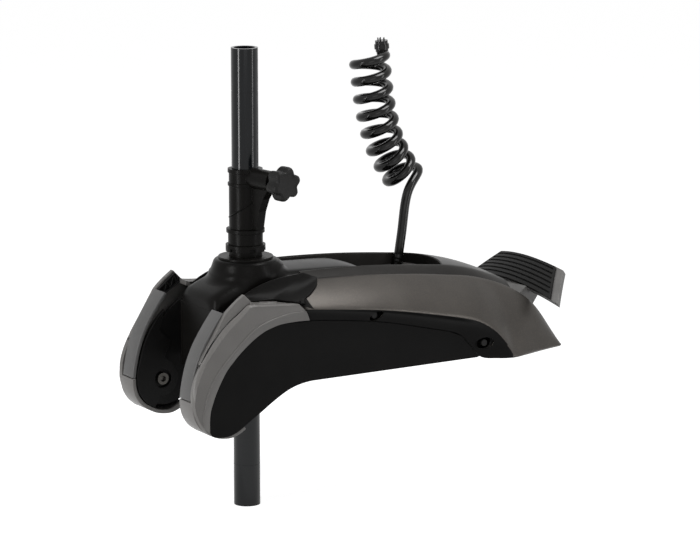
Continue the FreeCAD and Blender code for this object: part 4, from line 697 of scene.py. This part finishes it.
def line_through(points):
    """A smooth line through (aft, across, up) points, read by its place aft."""
    slopes = [[(b - a) / (after[0] - before[0]) for a, b in zip(before, after)]
              for before, _, after in neighbours(points)]

    def read(aft):
        index = 0
        while index < len(points) - 2 and points[index + 1][0] < aft:
            index += 1
        low, high = points[index], points[index + 1]
        run = high[0] - low[0]
        t = (aft - low[0]) / run
        return [(2 * t**3 - 3 * t**2 + 1) * a + (t**3 - 2 * t**2 + t) * run * leaving
                + (3 * t**2 - 2 * t**3) * b + (t**3 - t**2) * run * arriving
                for a, b, leaving, arriving in
                zip(low[1:], high[1:], slopes[index][1:], slopes[index + 1][1:])]

    return read


def smooth_line(points, count):
    """A line rounded through its points, so many steps from one to the next."""
    ends = points[:1] + points + points[-1:]
    line = []
    for p0, p1, p2, p3 in zip(ends, ends[1:], ends[2:], ends[3:]):
        for step in range(count):
            t = step / count
            line.append(tuple(
                0.5 * (2 * b + (c - a) * t + (2 * a - 5 * b + 4 * c - d) * t * t
                       + (3 * b - a - 3 * c + d) * t**3)
                for a, b, c, d in zip(p0, p1, p2, p3)))
    return line + points[-1:]


def between(first, second, share):
    return tuple(a + (b - a) * share for a, b in zip(first, second))


def round_turn(count):
    """The angles of a full turn in equal steps."""
    return [2 * pi * step / count for step in range(count)]


def both_ways(steps):
    """Steps that start in the middle, taken out to both sides."""
    return [-step for step in steps[:0:-1]] + steps


def read_off(table, place):
    """A value read off a table of places and values, straight between two rows."""
    for (low, low_value), (high, high_value) in zip(table, table[1:]):
        if place <= high:
            return low_value + (high_value - low_value) * (place - low) / (high - low)
    return table[-1][1]

# %% Solids drawn out from an outline
def prism(outline, way):
    """A flat outline of points, drawn out along a way."""
    fresh()
    bpy.ops.mesh.primitive_circle_add(vertices=len(outline), radius=0.1, fill_type="NGON")
    piece = bpy.context.object
    place_points(piece, outline)
    with edit_mode(piece):
        bpy.ops.mesh.extrude_region_move(TRANSFORM_OT_translate={"value": way})
    return tidy_mesh(piece)


def plate(outline, side, inner, outer):
    """A flat piece with a side outline, between two distances across."""
    return prism([at(aft, side * inner, up) for aft, up in outline],
                 (0, side * (outer - inner) * MM, 0))


def upright_block(corners, low, high):
    """A block with a plan, between two heights."""
    return prism([at(*corner, low) for corner in corners], (0, 0, (high - low) * MM))


# %% [markdown]
# ## The arched side covers
#
# Each cover is a long arch that rises from the cheek, runs aft and comes down to a point at the
# deck. Under its crisp lip the wall turns back in a cove that frames the side panel; the shade in
# that cove is painted near black. Each section is drawn between three lines along the cover: its
# crest, its lip and its foot.

# %% The three lines of a side cover
COVER_CREST = [
    (8, 52, 107.9), (60, 52, 107), (120, 52, 104.6), (178, 52, 99.4), (217, 52, 94.4),
    (250, 52, 89.4), (278, 52, 81.6), (300, 52.6, 72.6), (316.2, 54.6, 63), (328.8, 58, 52.5),
    (338.4, 61, 40), (349.8, 65.5, 21), (358, 68.9, 7.4)]
COVER_LIP = [
    (6.5, 82, 84.3), (41, 83.8, 81), (117.5, 88, 72.3), (176, 91.2, 61.9), (220.5, 94, 52.4),
    (238.2, 95, 46.4), (256, 96.2, 35), (268.7, 97, 21.4), (275, 97, 13.2), (281, 97, 4.8),
    (300, 92.4, 4.6), (330, 82.7, 4.3), (358, 74.3, 4.1)]
COVER_FOOT = [
    (7.1, 79.3, 70.6), (43.1, 79.3, 68.5), (83.1, 79.3, 63.7), (123.1, 79.3, 57.4),
    (163.1, 79.3, 48.4), (200.1, 79.3, 39.3), (218.6, 79.3, 33.3), (233.2, 79.5, 19.9),
    (245.8, 81.1, 5.5), (262.4, 89.1, 3.2), (281, 94, 2.6), (300, 89.4, 2.6), (330, 79.7, 2.5),
    (358, 72.3, 2.5)]
crest_line, lip_line, foot_line = map(line_through, (COVER_CREST, COVER_LIP, COVER_FOOT))
# where each cover starts, behind the trim and the scoop, as up and aft
COVER_START = [
    (60, 32.6), (70.4, 32), (75.9, 29.3), (82.9, 24.5), (89.4, 18.6), (91.1, 26.7), (95.1, 38.2),
    (101.5, 50.8), (109, 59)]
COVER_END, COVER_STEPS = 358.0, 88
BULGE = 0.055
ARCH_STEPS, COVE_STEPS = 18, 8


def bowed(start, control, end, steps):
    """Points from start to end, drawn towards a control point."""
    shares = [step / steps for step in range(steps + 1)]
    return [between(between(start, control, k), between(control, end, k), k) for k in shares]


def cover_section(aft):
    """The cover's section at a place, from its crest over the lip to its foot."""
    crest, lip, foot = crest_line(aft), lip_line(aft), foot_line(aft)
    out, down = lip[0] - crest[0], crest[1] - lip[1]
    pull = ((crest[0] + lip[0]) / 2 + 2 * down * BULGE,
            (crest[1] + lip[1]) / 2 + 2 * out * BULGE)
    arch = bowed(crest, pull, lip, ARCH_STEPS)
    tuck = (foot[0] + 0.12 * (lip[0] - foot[0]), lip[1] - 0.22 * (lip[1] - foot[1]))
    cove = bowed(lip, tuck, foot, COVE_STEPS)
    rounded = between(arch[-2], cove[1], 0.5)
    lip_point = between(lip, rounded, 0.35)
    return [(aft, *p) for p in arch[:-1] + [lip_point] + cove[1:]]


def cover_rows():
    """The cover's sections, the first of them cut to the line where it starts."""
    starts = []
    for index in range(ARCH_STEPS + COVE_STEPS + 1):
        aft = 30.0
        for _ in range(12):
            aft = 0.5 * (aft + read_off(COVER_START, cover_section(aft)[index][2]))
        starts.append(aft)
    rows = []
    for step in range(COVER_STEPS + 1):
        share = step / COVER_STEPS
        places = [first + (COVER_END - first) * share for first in starts]
        rows.append([cover_section(aft)[index] for index, aft in enumerate(places)])
    return rows


# %% Make both side covers
# each screw's seat: aft, up, reach, half length, half width and tilt
SCREW_SEATS = ((112.8, 65.6, 75, 8, 4.7, 24), (249, 21.1, 81.5, 8.8, 6.4, 12))
COVER_WALL, CUP_WALL, CUP_DEPTH, CUP_FLOOR, SCREW_HOLE = 1.8, 0.8, 14, 5, 3.4
COVE_END = 281.5


def oval(seat, side, inner, outer, grow=0.0, count=48):
    """An oval peg across the mount at a seat, its long way tilted up aft."""
    aft, up, _, long, short, tilt = seat
    lean = radians(tilt)
    ring = []
    for turn in round_turn(count):
        along, over = (long + grow) * cos(turn), (short + grow) * sin(turn)
        ring.append((aft + along * cos(lean) - over * sin(lean),
                     up + along * sin(lean) + over * cos(lean)))
    return plate(ring, side, inner, outer)


def in_cove(polygon):
    """Whether a face of the cover lies under the lip, where the moulding is black."""
    aft = (polygon.center.x - SHAFT_X) / MM
    out, up = abs(polygon.center.y) / MM, polygon.center.z / MM
    lip, foot = lip_line(aft), foot_line(aft)
    # Whether a face of the cover lies under the lip, where the shade is painted near black.
    under = foot[0] - 3 < out < lip[0] + 0.3 and up < lip[1] - 0.25
    return under and aft < COVE_END and polygon.normal.z < 0.2


sections = cover_rows()
for side, name in SIDES:
    cover = walled(skin([on_side(side, section) for section in sections]), COVER_WALL,
                   at(150, 0, 0))
    for finish in ("cover_metallic", "painted_shade_black"):
        cover.data.materials.append(FINISH[finish])
    cut(cover, *(oval(seat, side, 60, 110) for seat in SCREW_SEATS))
    # the faces under the lip take the painted shade finish
    for polygon in cover.data.polygons:
        if in_cove(polygon):
            polygon.material_index = 1
    settle(soften(cover, 0.35, 2, 40), f"{name}_arch", None, "base", "cover_metallic",
           f"{name}_side_cover")
    for index, seat in enumerate(SCREW_SEATS):
        aft, up, reach = seat[:3]
        hole = (aft, up, reach, SCREW_HOLE, SCREW_HOLE, 0)
        cup = oval(seat, side, reach - CUP_DEPTH, reach + 0.6, CUP_WALL)
        cut(cup, oval(seat, side, reach - CUP_DEPTH + CUP_FLOOR, reach + 6),
            oval(hole, side, reach - 20, reach + 6, count=40))
        # the screw seats take the painted shade finish, so their depth reads dark
        settle(soften(cup, 0.25), f"{name}_screw_cup_{index + 1}", "painted_shade_black", "base",
               "cover_metallic")

# %% [markdown]
# ## The top cover and its scoop
#
# The top cover's rim runs round the well: a skin with the well cut out of it and a wall hung round
# the opening. Ahead of it the cover ends in a scoop, one hollow black face that starts on a thin
# crest beside the hood, sweeps down to the trim's deck and turns out to the side cover. It is
# drawn as a fan of hollow sections.

# %% The rim round the well
TOP_LINE = [
    (41, 116, 114.7, 107.7), (75, 115.8, 114.2, 106.9), (106, 115, 113, 105.4),
    (137, 113.4, 111.2, 103.5), (168, 111.2, 108.6, 100.6), (199, 108.4, 105.4, 97),
    (230, 104.8, 101.6, 92.7), (258, 98.8, 95.4, 87.6), (282, 90.6, 87.2, 80), (304, 81, 78, 71)]
top_line = line_through(TOP_LINE)
TOP_FRONT, TOP_END, TOP_STEPS, TOP_WALL = 41.5, 304.0, 66, 2.4
WELL_HALF, RIM_HALF, WELL_FLOOR, CURB_WALL = 40.0, 51.7, 92.0, 1.6
SKEW_FROM, SKEW = 48, 14.5


def top_up(aft, across):
    """The rim's height at a place."""
    middle, shoulder, rim = top_line(aft)
    across = abs(across)
    if across <= WELL_HALF:
        return middle - (middle - shoulder) * (across / WELL_HALF) ** 2
    return shoulder - (shoulder - rim) * ((across - WELL_HALF) / (RIM_HALF - WELL_HALF)) ** 1.3


def top_start(across):
    """How far aft the rim starts, skewed where it meets the scoop."""
    return TOP_FRONT + max(0.0, abs(across) - SKEW_FROM) / (RIM_HALF - SKEW_FROM) * SKEW


half_steps = [WELL_HALF * k / 8 for k in range(8)]
half_steps += [WELL_HALF + 1.17 * k for k in range(11)]
rows = []
for step in range(TOP_STEPS + 1):
    row = []
    for across in both_ways(half_steps):
        aft = top_start(across) + (TOP_END - top_start(across)) * step / TOP_STEPS
        row.append(at(aft, across, top_up(aft, across)))
    lip = Vector((0, 0, -3.0 * MM))
    rows.append([row[0] + lip] + row + [row[-1] + lip])
rim = walled(skin(rows), TOP_WALL, at(150, 0, 0))
well_round = [(223 + 10 * (1 - (k / 10) ** 2), 4.0 * k) for k in range(-10, 11)]
cut(rim, upright_block([(-20, -WELL_HALF)] + well_round + [(-20, WELL_HALF)], 60, 130))
curb = ([(TOP_FRONT, -WELL_HALF), (132, -WELL_HALF)] + well_round
        + [(132, WELL_HALF), (TOP_FRONT, WELL_HALF)])
curb_rows = [[at(aft, across, height) for height in
              (top_up(aft, across) - 0.8, 105.0 if aft < 140 else 98.0, WELL_FLOOR)]
             for aft, across in curb]
curb_wall = apply(skin(curb_rows), "SOLIDIFY", thickness=CURB_WALL * MM, offset=0)
settle(soften(joined(rim, curb_wall), 0, angle=30), "top_rim", "band_gray", "base",
       "band_gray", "top_cover")

# %% The scoop on each side
def on_cover(aft, up):
    """How far across the side cover's face is, at a place aft and a height."""
    return read_off([(height, across) for _, across, height in
                     cover_section(aft)[ARCH_STEPS - 1::-1]], up)


SCOOP_TOP = [
    (-36, 49.2, 95.5), (-28, 49.2, 100.2), (-20, 49.2, 104), (-10, 49.2, 107.6), (0, 49.2, 110.3),
    (12, 49.2, 112.2), (24, 49.2, 113.4), (34, 48.6, 114), (41, 48.2, 114.2), (49, 50, 110.8),
    (56.3, 52, 107.4)]
SCOOP_TOP += [(aft, on_cover(aft, up) - 0.2, up) for aft, up in
              ((53.6, 104.2), (50.8, 101.5), (44.4, 98.1), (38.2, 95.1), (32.3, 92.9),
               (26.7, 91.1), (17.7, 89.5))]
SCOOP_FOOT = [
    (-36, 60, 92.5), (-28, 60, 91.8), (-22, 60, 91.5), (-15, 60.1, 91.4), (-10, 60.1, 91.3),
    (-6, 60.1, 91.3), (-3, 60.3, 91.2), (-1, 61.5, 91.1), (0.5, 63.1, 91), (4, 67.1, 90.6),
    (7, 70.6, 90.3), (9, 72.8, 90.1), (10.8, 75, 90), (12.4, 76.8, 89.8), (13.8, 78.4, 89.6),
    (15, 79.6, 89.5), (16, 80.5, 89.4), (17.4, 81.1, 89.3)]
WALL_HOLLOW, BAND_HOLLOW, BAND_FROM, SCOOP_WALL = (0.1, 0.2), (0.30, 0.34), 8, 2.2
for side, name in SIDES:
    rows = []
    for index, (top, foot) in enumerate(zip(SCOOP_TOP, SCOOP_FOOT)):
        reach, rise = between(WALL_HOLLOW, BAND_HOLLOW, min(1.0, index / BAND_FROM))
        hollow = (top[0] + 0.5 * (foot[0] - top[0]), top[1] + reach * (foot[1] - top[1]) - 0.8,
                  foot[2] + rise * (top[2] - foot[2]))
        rows.append(on_side(side, bowed(top, hollow, foot, 12)))
    scoop = walled(skin(rows), SCOOP_WALL, at(0, side * 200, 160))
    settle(soften(scoop, 0.5, 2, 50), f"{name}_scoop", "scoop_black", "base", "band_gray")

# %% [markdown]
# ## The hood and its boss
#
# The steering head's upper shell is a long hood with soft shoulders, drawn as sections along the
# mount. The hub's boss grows from it with a wide hollow foot, as rings that start on the hood's
# surface and climb to a rounded rim.

# %% The hood
HOOD_TOP = [
    (-60, 95), (-44, 103), (-26, 109.5), (0, 113.5), (27, 115), (70, 113.8), (112, 111.6),
    (127, 108.5)]
HEAD_HALF, HEAD_SPLIT, SKIRT, HOOD_FRONT, HOOD_REAR = 37.9, 81.0, 92.0, -60.0, 127.0
SHOULDER_ROUND, FRONT_ROUND, PLAN_ROUND, CROWN, HOOD_WALL = 13.0, 7.0, 9.0, 2.4, 2.4
hood_line = line_through(HOOD_TOP)


def hood_up(aft, across, half=HEAD_HALF):
    """The hood's height at a place, with its crown and its round shoulders."""
    across = min(abs(across), half)
    over = max(0.0, across - (half - SHOULDER_ROUND))
    fall = SHOULDER_ROUND - sqrt(SHOULDER_ROUND ** 2 - over ** 2)
    return hood_line(aft)[0] - CROWN * (across / half) ** 2 - fall


def hood_row(aft, sink=0.0, half=HEAD_HALF, low=HEAD_SPLIT):
    """A section of the hood from side to side, closer where its shoulders turn."""
    flat = half - SHOULDER_ROUND
    steps = [flat * k / 6 for k in range(6)]
    steps += [flat + SHOULDER_ROUND * sin(radians(k * 15)) for k in range(7)]
    row = [at(aft, y, max(low, hood_up(aft, y, half) - sink)) for y in both_ways(steps)]
    return [at(aft, -half, low)] + row + [at(aft, half, low)]


hood_rows = [hood_row(HOOD_FRONT, 60.0, HEAD_HALF - PLAN_ROUND)]
for turn in (90, 72, 54, 36, 18, 0):
    share = sin(radians(turn))
    drop = 1 - cos(radians(turn))
    hood_rows.append(hood_row(HOOD_FRONT + FRONT_ROUND * (1 - share), FRONT_ROUND * drop * 0.8,
                              HEAD_HALF - PLAN_ROUND * drop))
hood_rows += [hood_row(aft) for aft in range(-50, 45, 4)]
hood_rows += [hood_row(aft, low=SKIRT)
              for aft in (50, 58, 66, 74, 82, 90, 98, 106, 113, 119, 124)]
hood_rows += [hood_row(HOOD_REAR - 0.8, 0.3, low=SKIRT), hood_row(HOOD_REAR, 1.4, low=SKIRT)]
hood = walled(skin(hood_rows), HOOD_WALL, at(0, 0, 60))

# %% The boss that grows from it
BOSS_COLUMNS, BOSS_LEVEL = 72, 124
# each ring's radius, and its rise over the hood or its own height
BOSS_FOOT = [
    (46.5, -0.8), (44.6, 0.1), (43, 0.7), (41.6, 1.7), (40.5, 3.1), (39.8, 4.8), (39.3, 6.6)]
BOSS_WALL = [
    (37.8, 113), (36.2, 119), (35, 122.6), (34.2, 124.6), (33.2, 125.9), (31.9, 126.7),
    (30.4, 127), (21.2, 127), (21.2, 120)]


def boss_ring(radius, rise=None, height=None):
    """A ring round the boss, a rise over the hood or at a height of its own."""
    ring = []
    for turn in round_turn(BOSS_COLUMNS):
        aft = radius * cos(turn)
        across = max(-HEAD_HALF, min(HEAD_HALF, radius * sin(turn)))
        ground = hood_up(aft, across)
        if height is None:
            up = ground + rise
        elif height < BOSS_LEVEL:
            up = max(height, ground + BOSS_FOOT[-1][1] + (height - 110) * 0.28)
        else:
            up = height
        ring.append(at(aft, across, up))
    return ring


boss_rows = [boss_ring(r, rise=rise) for r, rise in BOSS_FOOT]
boss_rows += [boss_ring(r, height=height) for r, height in BOSS_WALL]
boss = turn_outwards(skin(boss_rows, around=True), at(0, 0, 90))
fresh()
bpy.ops.mesh.primitive_cylinder_add(vertices=BOSS_COLUMNS, radius=30 * MM, depth=35 * MM,
                                    location=at(0, 0, 112.5))
cut(hood, bpy.context.object)
settle(soften(joined(hood, boss), 0, angle=38), "head_hood", "head_black",
       "carriage", "head_black", "housing_hood")

# %% [markdown]
# ## The gray cheek trims
#
# The gray moulding round each cheek turns the light four ways. From the dark groove beside the pad
# a narrow slope climbs to a first ridge, a broad face runs to a second one, and a bevel falls to
# the black panel. Four lines carry these edges from the deck down to the toe.

# %% The moulding between the groove and the panel
# groove, first ridge, second ridge and panel edge, each as aft and up
TRIM_LINES = [
    (17.4, 89.6, 17, 88.6, 24.4, 81.3, 30.5, 70.2), (2.7, 90.8, 2.7, 89.7, 6, 81.3, 15.9, 70.7),
    (-14, 92.1, -14.2, 91, -6, 79.2, 1.4, 70.3), (-27.6, 93.2, -27.4, 92, -17, 76.6, -8, 69.2),
    (-38.5, 94.8, -37.2, 92.8, -28, 73, -20, 66),
    (-44.8, 93.8, -42.8, 91.6, -35.2, 69.6, -27.4, 62.9),
    (-53, 87.4, -50.6, 84.6, -42.6, 64.6, -35.2, 58.4), (-65, 79, -60.5, 76.4, -52, 57, -45, 51.4),
    (-74.5, 70.6, -70.5, 68.2, -61, 48.9, -53.5, 44.3),
    (-84.2, 59.4, -80.5, 57.2, -69.5, 40.5, -61.4, 36.7),
    (-91.3, 49.8, -88, 48.4, -77, 32.8, -69, 28.5),
    (-97.9, 40.9, -94.5, 39.8, -82.5, 26, -74.3, 20.5),
    (-102.9, 32, -99.5, 30, -88, 18, -79.6, 11), (-106.6, 23.4, -104, 20.2, -92.7, 8.8, -84, 1.8),
    (-109.2, 14.6, -106.8, 12, -95.4, 1.2, -86.8, -5.8),
    (-110.3, 6, -108.4, 4, -97.3, -6.5, -88.9, -12),
    (-109.7, -6, -108.7, -6, -99.2, -15, -89.9, -18.5),
    (-106.9, -17.6, -106, -16.4, -100, -22.5, -90.3, -25),
    (-101.5, -28, -100.5, -26.8, -98.6, -29.4, -90.2, -31),
    (-95.5, -34.9, -94.8, -34.5, -94.4, -34.1, -90, -35.2),
    (-91.2, -38, -90.8, -37.6, -90.6, -37.2, -89.8, -36.2)]
GROOVE_OUT = 79.6
# each point of a section: the line it starts from, its share of the way to the
# next line, and its distance across
TRIM_POINTS = [
    (0, 0.25, 75), (0, 0.03, 79.1), (0, 0, GROOVE_OUT), (0, 0.12, 80.3), (0, 0.55, 81.832),
    (0, 0.93, 83.05), (0, 1, 83.3), (1, 0.05, 83.2), (1, 0.25, 83.3), (1, 0.5, 83.4),
    (1, 0.75, 83.5), (1, 0.93, 83.6), (1, 0.965, 83.2), (1, 1, 83.95), (2, 0.07, 84),
    (2, 0.35, 83.4), (2, 0.7, 82.3), (2, 1, 80.9), (2, 1, 75)]


def moulding(side):
    """The gray moulding, sections from the deck down to the toe."""
    rows = []
    for line in smooth_line(TRIM_LINES, 7):
        edges = [line[k:k + 2] for k in (0, 2, 4, 6)]
        section = []
        for edge, share, across in TRIM_POINTS:
            aft, up = between(edges[edge], edges[edge + 1], share)
            section.append((aft, across, up))
        rows.append(on_side(side, section))
    return closed_ends(skin(rows, around=True))


print("moulding lines", len(TRIM_LINES))

# %% [markdown]
# The hook stands above the pad like a fin: a slim wall along the moulding's front, with a
# groove between them that widens into a dark slot. A second wall wraps the cheek's toe. On top,
# a flat deck with a small raised lid joins the hook to the side cover.

# %% The hook, the toe and the deck of each trim
HOOK_FRONT = [
    (-47.2, 105.4), (-58, 97.8), (-68.5, 88.4), (-73, 81.8), (-79.2, 72), (-85.3, 62.3),
    (-91.3, 52.9), (-97, 43.9), (-101.6, 35.2)]
HOOK_REAR = [
    (-101, 36.4), (-95.8, 45.2), (-90.6, 53.4), (-84.7, 60.6), (-80.2, 65.4), (-75.4, 70.4),
    (-66.2, 78.7), (-59.4, 83.8), (-52.5, 88.6), (-44.6, 94), (-36.8, 94.6), (-38.6, 96.6),
    (-42.4, 100.6)]
TOE = [
    (-109.9, -2.2), (-109.3, -12), (-106, -22.5), (-98.5, -32.5), (-86, -40.5), (-75, -44),
    (-63, -44.5), (-53, -41), (-46.5, -37.2)]
DECK_TOP = [
    (-41, 96.6), (-36.9, 94.9), (-30.5, 92.9), (-20.9, 91.9), (-10.1, 91.3), (2.7, 90.3),
    (15.6, 89)]
DECK_CORNER = ((-2, 50), (-2, 60.3), (15.6, 80.4), (17, 90), (40, 90), (40, 50))
LID_CORNERS = ((-19, 61.5), (-25, 69), (-5, 72), (0.5, 64))
LID_PROUD, TRIM_BAND = 0.7, 4.2
CHEEK_IN, PAD_OUT = 51.0, 73.5
toe_line, deck_top = smooth_line(TOE, 5), smooth_line(DECK_TOP, 4)


def inset(line, distance):
    """A line moved to its right by a distance, point by point."""
    moved = []
    for before, (aft, up), after in neighbours(line):
        run, rise = after[0] - before[0], after[1] - before[1]
        size = hypot(run, rise)
        moved.append((aft + rise / size * distance, up - run / size * distance))
    return moved


def band(line, near, far):
    """The outline of a band between two distances from a line."""
    return inset(line, near) + inset(line, far)[::-1]


for side, name in SIDES:
    body = soften(moulding(side), 0, angle=28)
    hook = plate(smooth_line(HOOK_FRONT, 4) + smooth_line(HOOK_REAR, 4), side, PAD_OUT + 0.3,
                 GROOVE_OUT - 0.8)
    toe = plate(band(toe_line, 0, -TRIM_BAND), side, CHEEK_IN, GROOVE_OUT - 0.3)
    deck = plate(deck_top + [(15.6, 85.2), (-30.0, 87.4), (-41.0, 91.4)], side, 57.0, 81.0)
    cut(deck, upright_block([(aft, side * across) for aft, across in DECK_CORNER], 80, 110))
    lid = upright_block([(aft, side * across) for aft, across in LID_CORNERS], 86, 90)
    for vertex in lid.data.vertices:
        if vertex.co.z > 88 * MM:
            deck_up = read_off(DECK_TOP, (vertex.co.x - SHAFT_X) / MM)
            vertex.co.z = (deck_up + LID_PROUD) * MM
    for part, width in ((hook, 0.6), (toe, 0.6), (deck, 0.4), (lid, 0.25)):
        soften(part, width, 3)
    settle(joined(body, hook, toe, deck, lid), f"{name}_trim", "trim_gray", "base",
           "trim_gray", f"{name}_cheek_trim")

# %% [markdown]
# ## The rest pads
#
# A gray pad runs down the front of each cheek, where the lower unit lies when the mount is folded.
# It is a bent bar with softly rounded corners.

# %% Two rest pads
PAD_FRONT = [
    (-70.4, 88.2), (-77.5, 79), (-86, 67), (-94, 54), (-100, 41), (-105, 26), (-108.5, 10),
    (-109.9, -1.2)]
pad_line = smooth_line(PAD_FRONT, 6)
for side, name in SIDES:
    pad = plate(band(pad_line, 0, -TRIM_BAND), side, CHEEK_IN, PAD_OUT)
    settle(soften(pad, 0.9, 3), f"{name}_pad", "pad_gray", "base", "trim_gray",
           f"{name}_rest_pad")

# %% [markdown]
# ## Inside the cheeks
#
# The moulder saves plastic with ribs. The inner face of each hook is a black lattice, and a dark
# web closes the toe behind the cheek plate. Both show on the far cheek only.

# %% The lattice and the toe web of each cheek
LATTICE = [
    (-47.6, 103.4), (-58, 95.8), (-68, 86.6), (-72.4, 79.4), (-66, 77), (-59, 82.6), (-52, 87.4),
    (-44.6, 92.6), (-37.6, 94), (-43, 100)]
RIBS = [
    ((-66.5, 86.4), (-59.4, 83.6)), ((-57.6, 95), (-59.4, 83.6)), ((-57.6, 95), (-52.2, 88.4)),
    ((-48.4, 102), (-52.2, 88.4)), ((-48.4, 102), (-45, 93.4)), ((-43.4, 99.2), (-45, 93.4)),
    ((-66.5, 86.4), (-71, 79.6)), ((-66.5, 86.4), (-66.4, 78.2)), ((-47.8, 102.6), (-67.4, 86.8)),
    ((-39, 94.4), (-66.4, 78.4))]


RIB_HALF = 0.45

for side, name in SIDES:
    ribs = [plate(band(list(ends), RIB_HALF, -RIB_HALF), side, 69.8, 72.6) for ends in RIBS]
    settle(soften(joined(plate(LATTICE, side, 72.4, 73.8), *ribs), 0, angle=30),
           f"{name}_lattice", "lattice_black", "base", "cheek_black")
    web = plate(band(toe_line, -3.6, -19.0), side, 69.0, 71.0)
    settle(soften(web, 0, angle=30), f"{name}_toe_web", "cheek_black", "base", "cheek_black")

# %% [markdown]
# ## The clamp knob
#
# Six round lobes give the fingers a grip. The knob is rings of points along the clamp's axis, from
# the neck over the lobes to a shallow dish.

# %% The knob
KNOB_UP, KNOB_TURN, KNOB_LOBES, KNOB_COLUMNS = 214.0, 10.0, 6, 96
KNOB_RINGS = [
    (47.6, 0.43, 0), (50.6, 0.44, 0), (52, 0.58, 0.3), (52.4, 0.80, 0.8), (53.4, 0.92, 1),
    (55.2, 0.985, 1), (58, 1, 1), (65, 1, 1), (67.6, 0.975, 1), (69.2, 0.92, 1), (69.9, 0.84, 0.9),
    (70, 0.76, 0.7), (69.6, 0.66, 0.3), (69.2, 0.40, 0), (69.1, 0.02, 0)]
KNOB_RADIUS, LOBE_DEPTH = 18.4, 0.115
lean = radians(KNOB_TURN)
heading = Vector((sin(lean), -cos(lean), 0))
sideways = Vector((cos(lean), sin(lean), 0))
rows = []
for reach, swell, lobed in KNOB_RINGS:
    row = []
    for turn in round_turn(KNOB_COLUMNS):
        wave = cos(KNOB_LOBES * (turn - radians(15)))
        radius = KNOB_RADIUS * swell * (1 - LOBE_DEPTH * lobed * (1 - wave) ** 1.25 * 0.84)
        spoke = sideways * cos(turn) + Vector((0, 0, 1)) * sin(turn)
        row.append(at(0, 0, KNOB_UP) + heading * reach * MM + spoke * radius * MM)
    rows.append(row)
knob = closed_ends(skin(rows, around=True))
settle(soften(knob, 0, angle=50), "lobed_knob", "knob_black", "clamp", "knob_black",
       "clamp_knob")

# %% [markdown]
# ## The collar's ridge
#
# A low ridge climbs round the depth collar like a turn of thread. Its sections are small humps.

# %% The climbing ridge
RIDGE_ROWS, RIDGE_FROM, RIDGE_TO = 48, -216.0, -84.0
RIDGE_LOW, RIDGE_HIGH, COLLAR_RADIUS = 170.5, 192.5, 17.3
HUMP = ((-1.3, -0.5), (-0.9, 0.15), (0.0, 0.85), (0.9, 0.15), (1.3, -0.5))
rows = []
for index in range(RIDGE_ROWS + 1):
    share = index / RIDGE_ROWS
    turn = radians(RIDGE_FROM + (RIDGE_TO - RIDGE_FROM) * share)
    up = RIDGE_LOW + (RIDGE_HIGH - RIDGE_LOW) * share ** 1.5
    rows.append([at((COLLAR_RADIUS + out) * cos(turn),
                    (COLLAR_RADIUS + out) * sin(turn), up + over) for over, out in HUMP])
ridge = closed_ends(skin(rows, around=True))
settle(soften(ridge, 0, angle=60), "collar_ridge", "head_black", "steering", "head_black")

# %% [markdown]
# ## The finished scene

# The modelled piece has to stay inside the box the CAD model fills.

# %% Finish the scene
import json

bpy.context.view_layer.update()
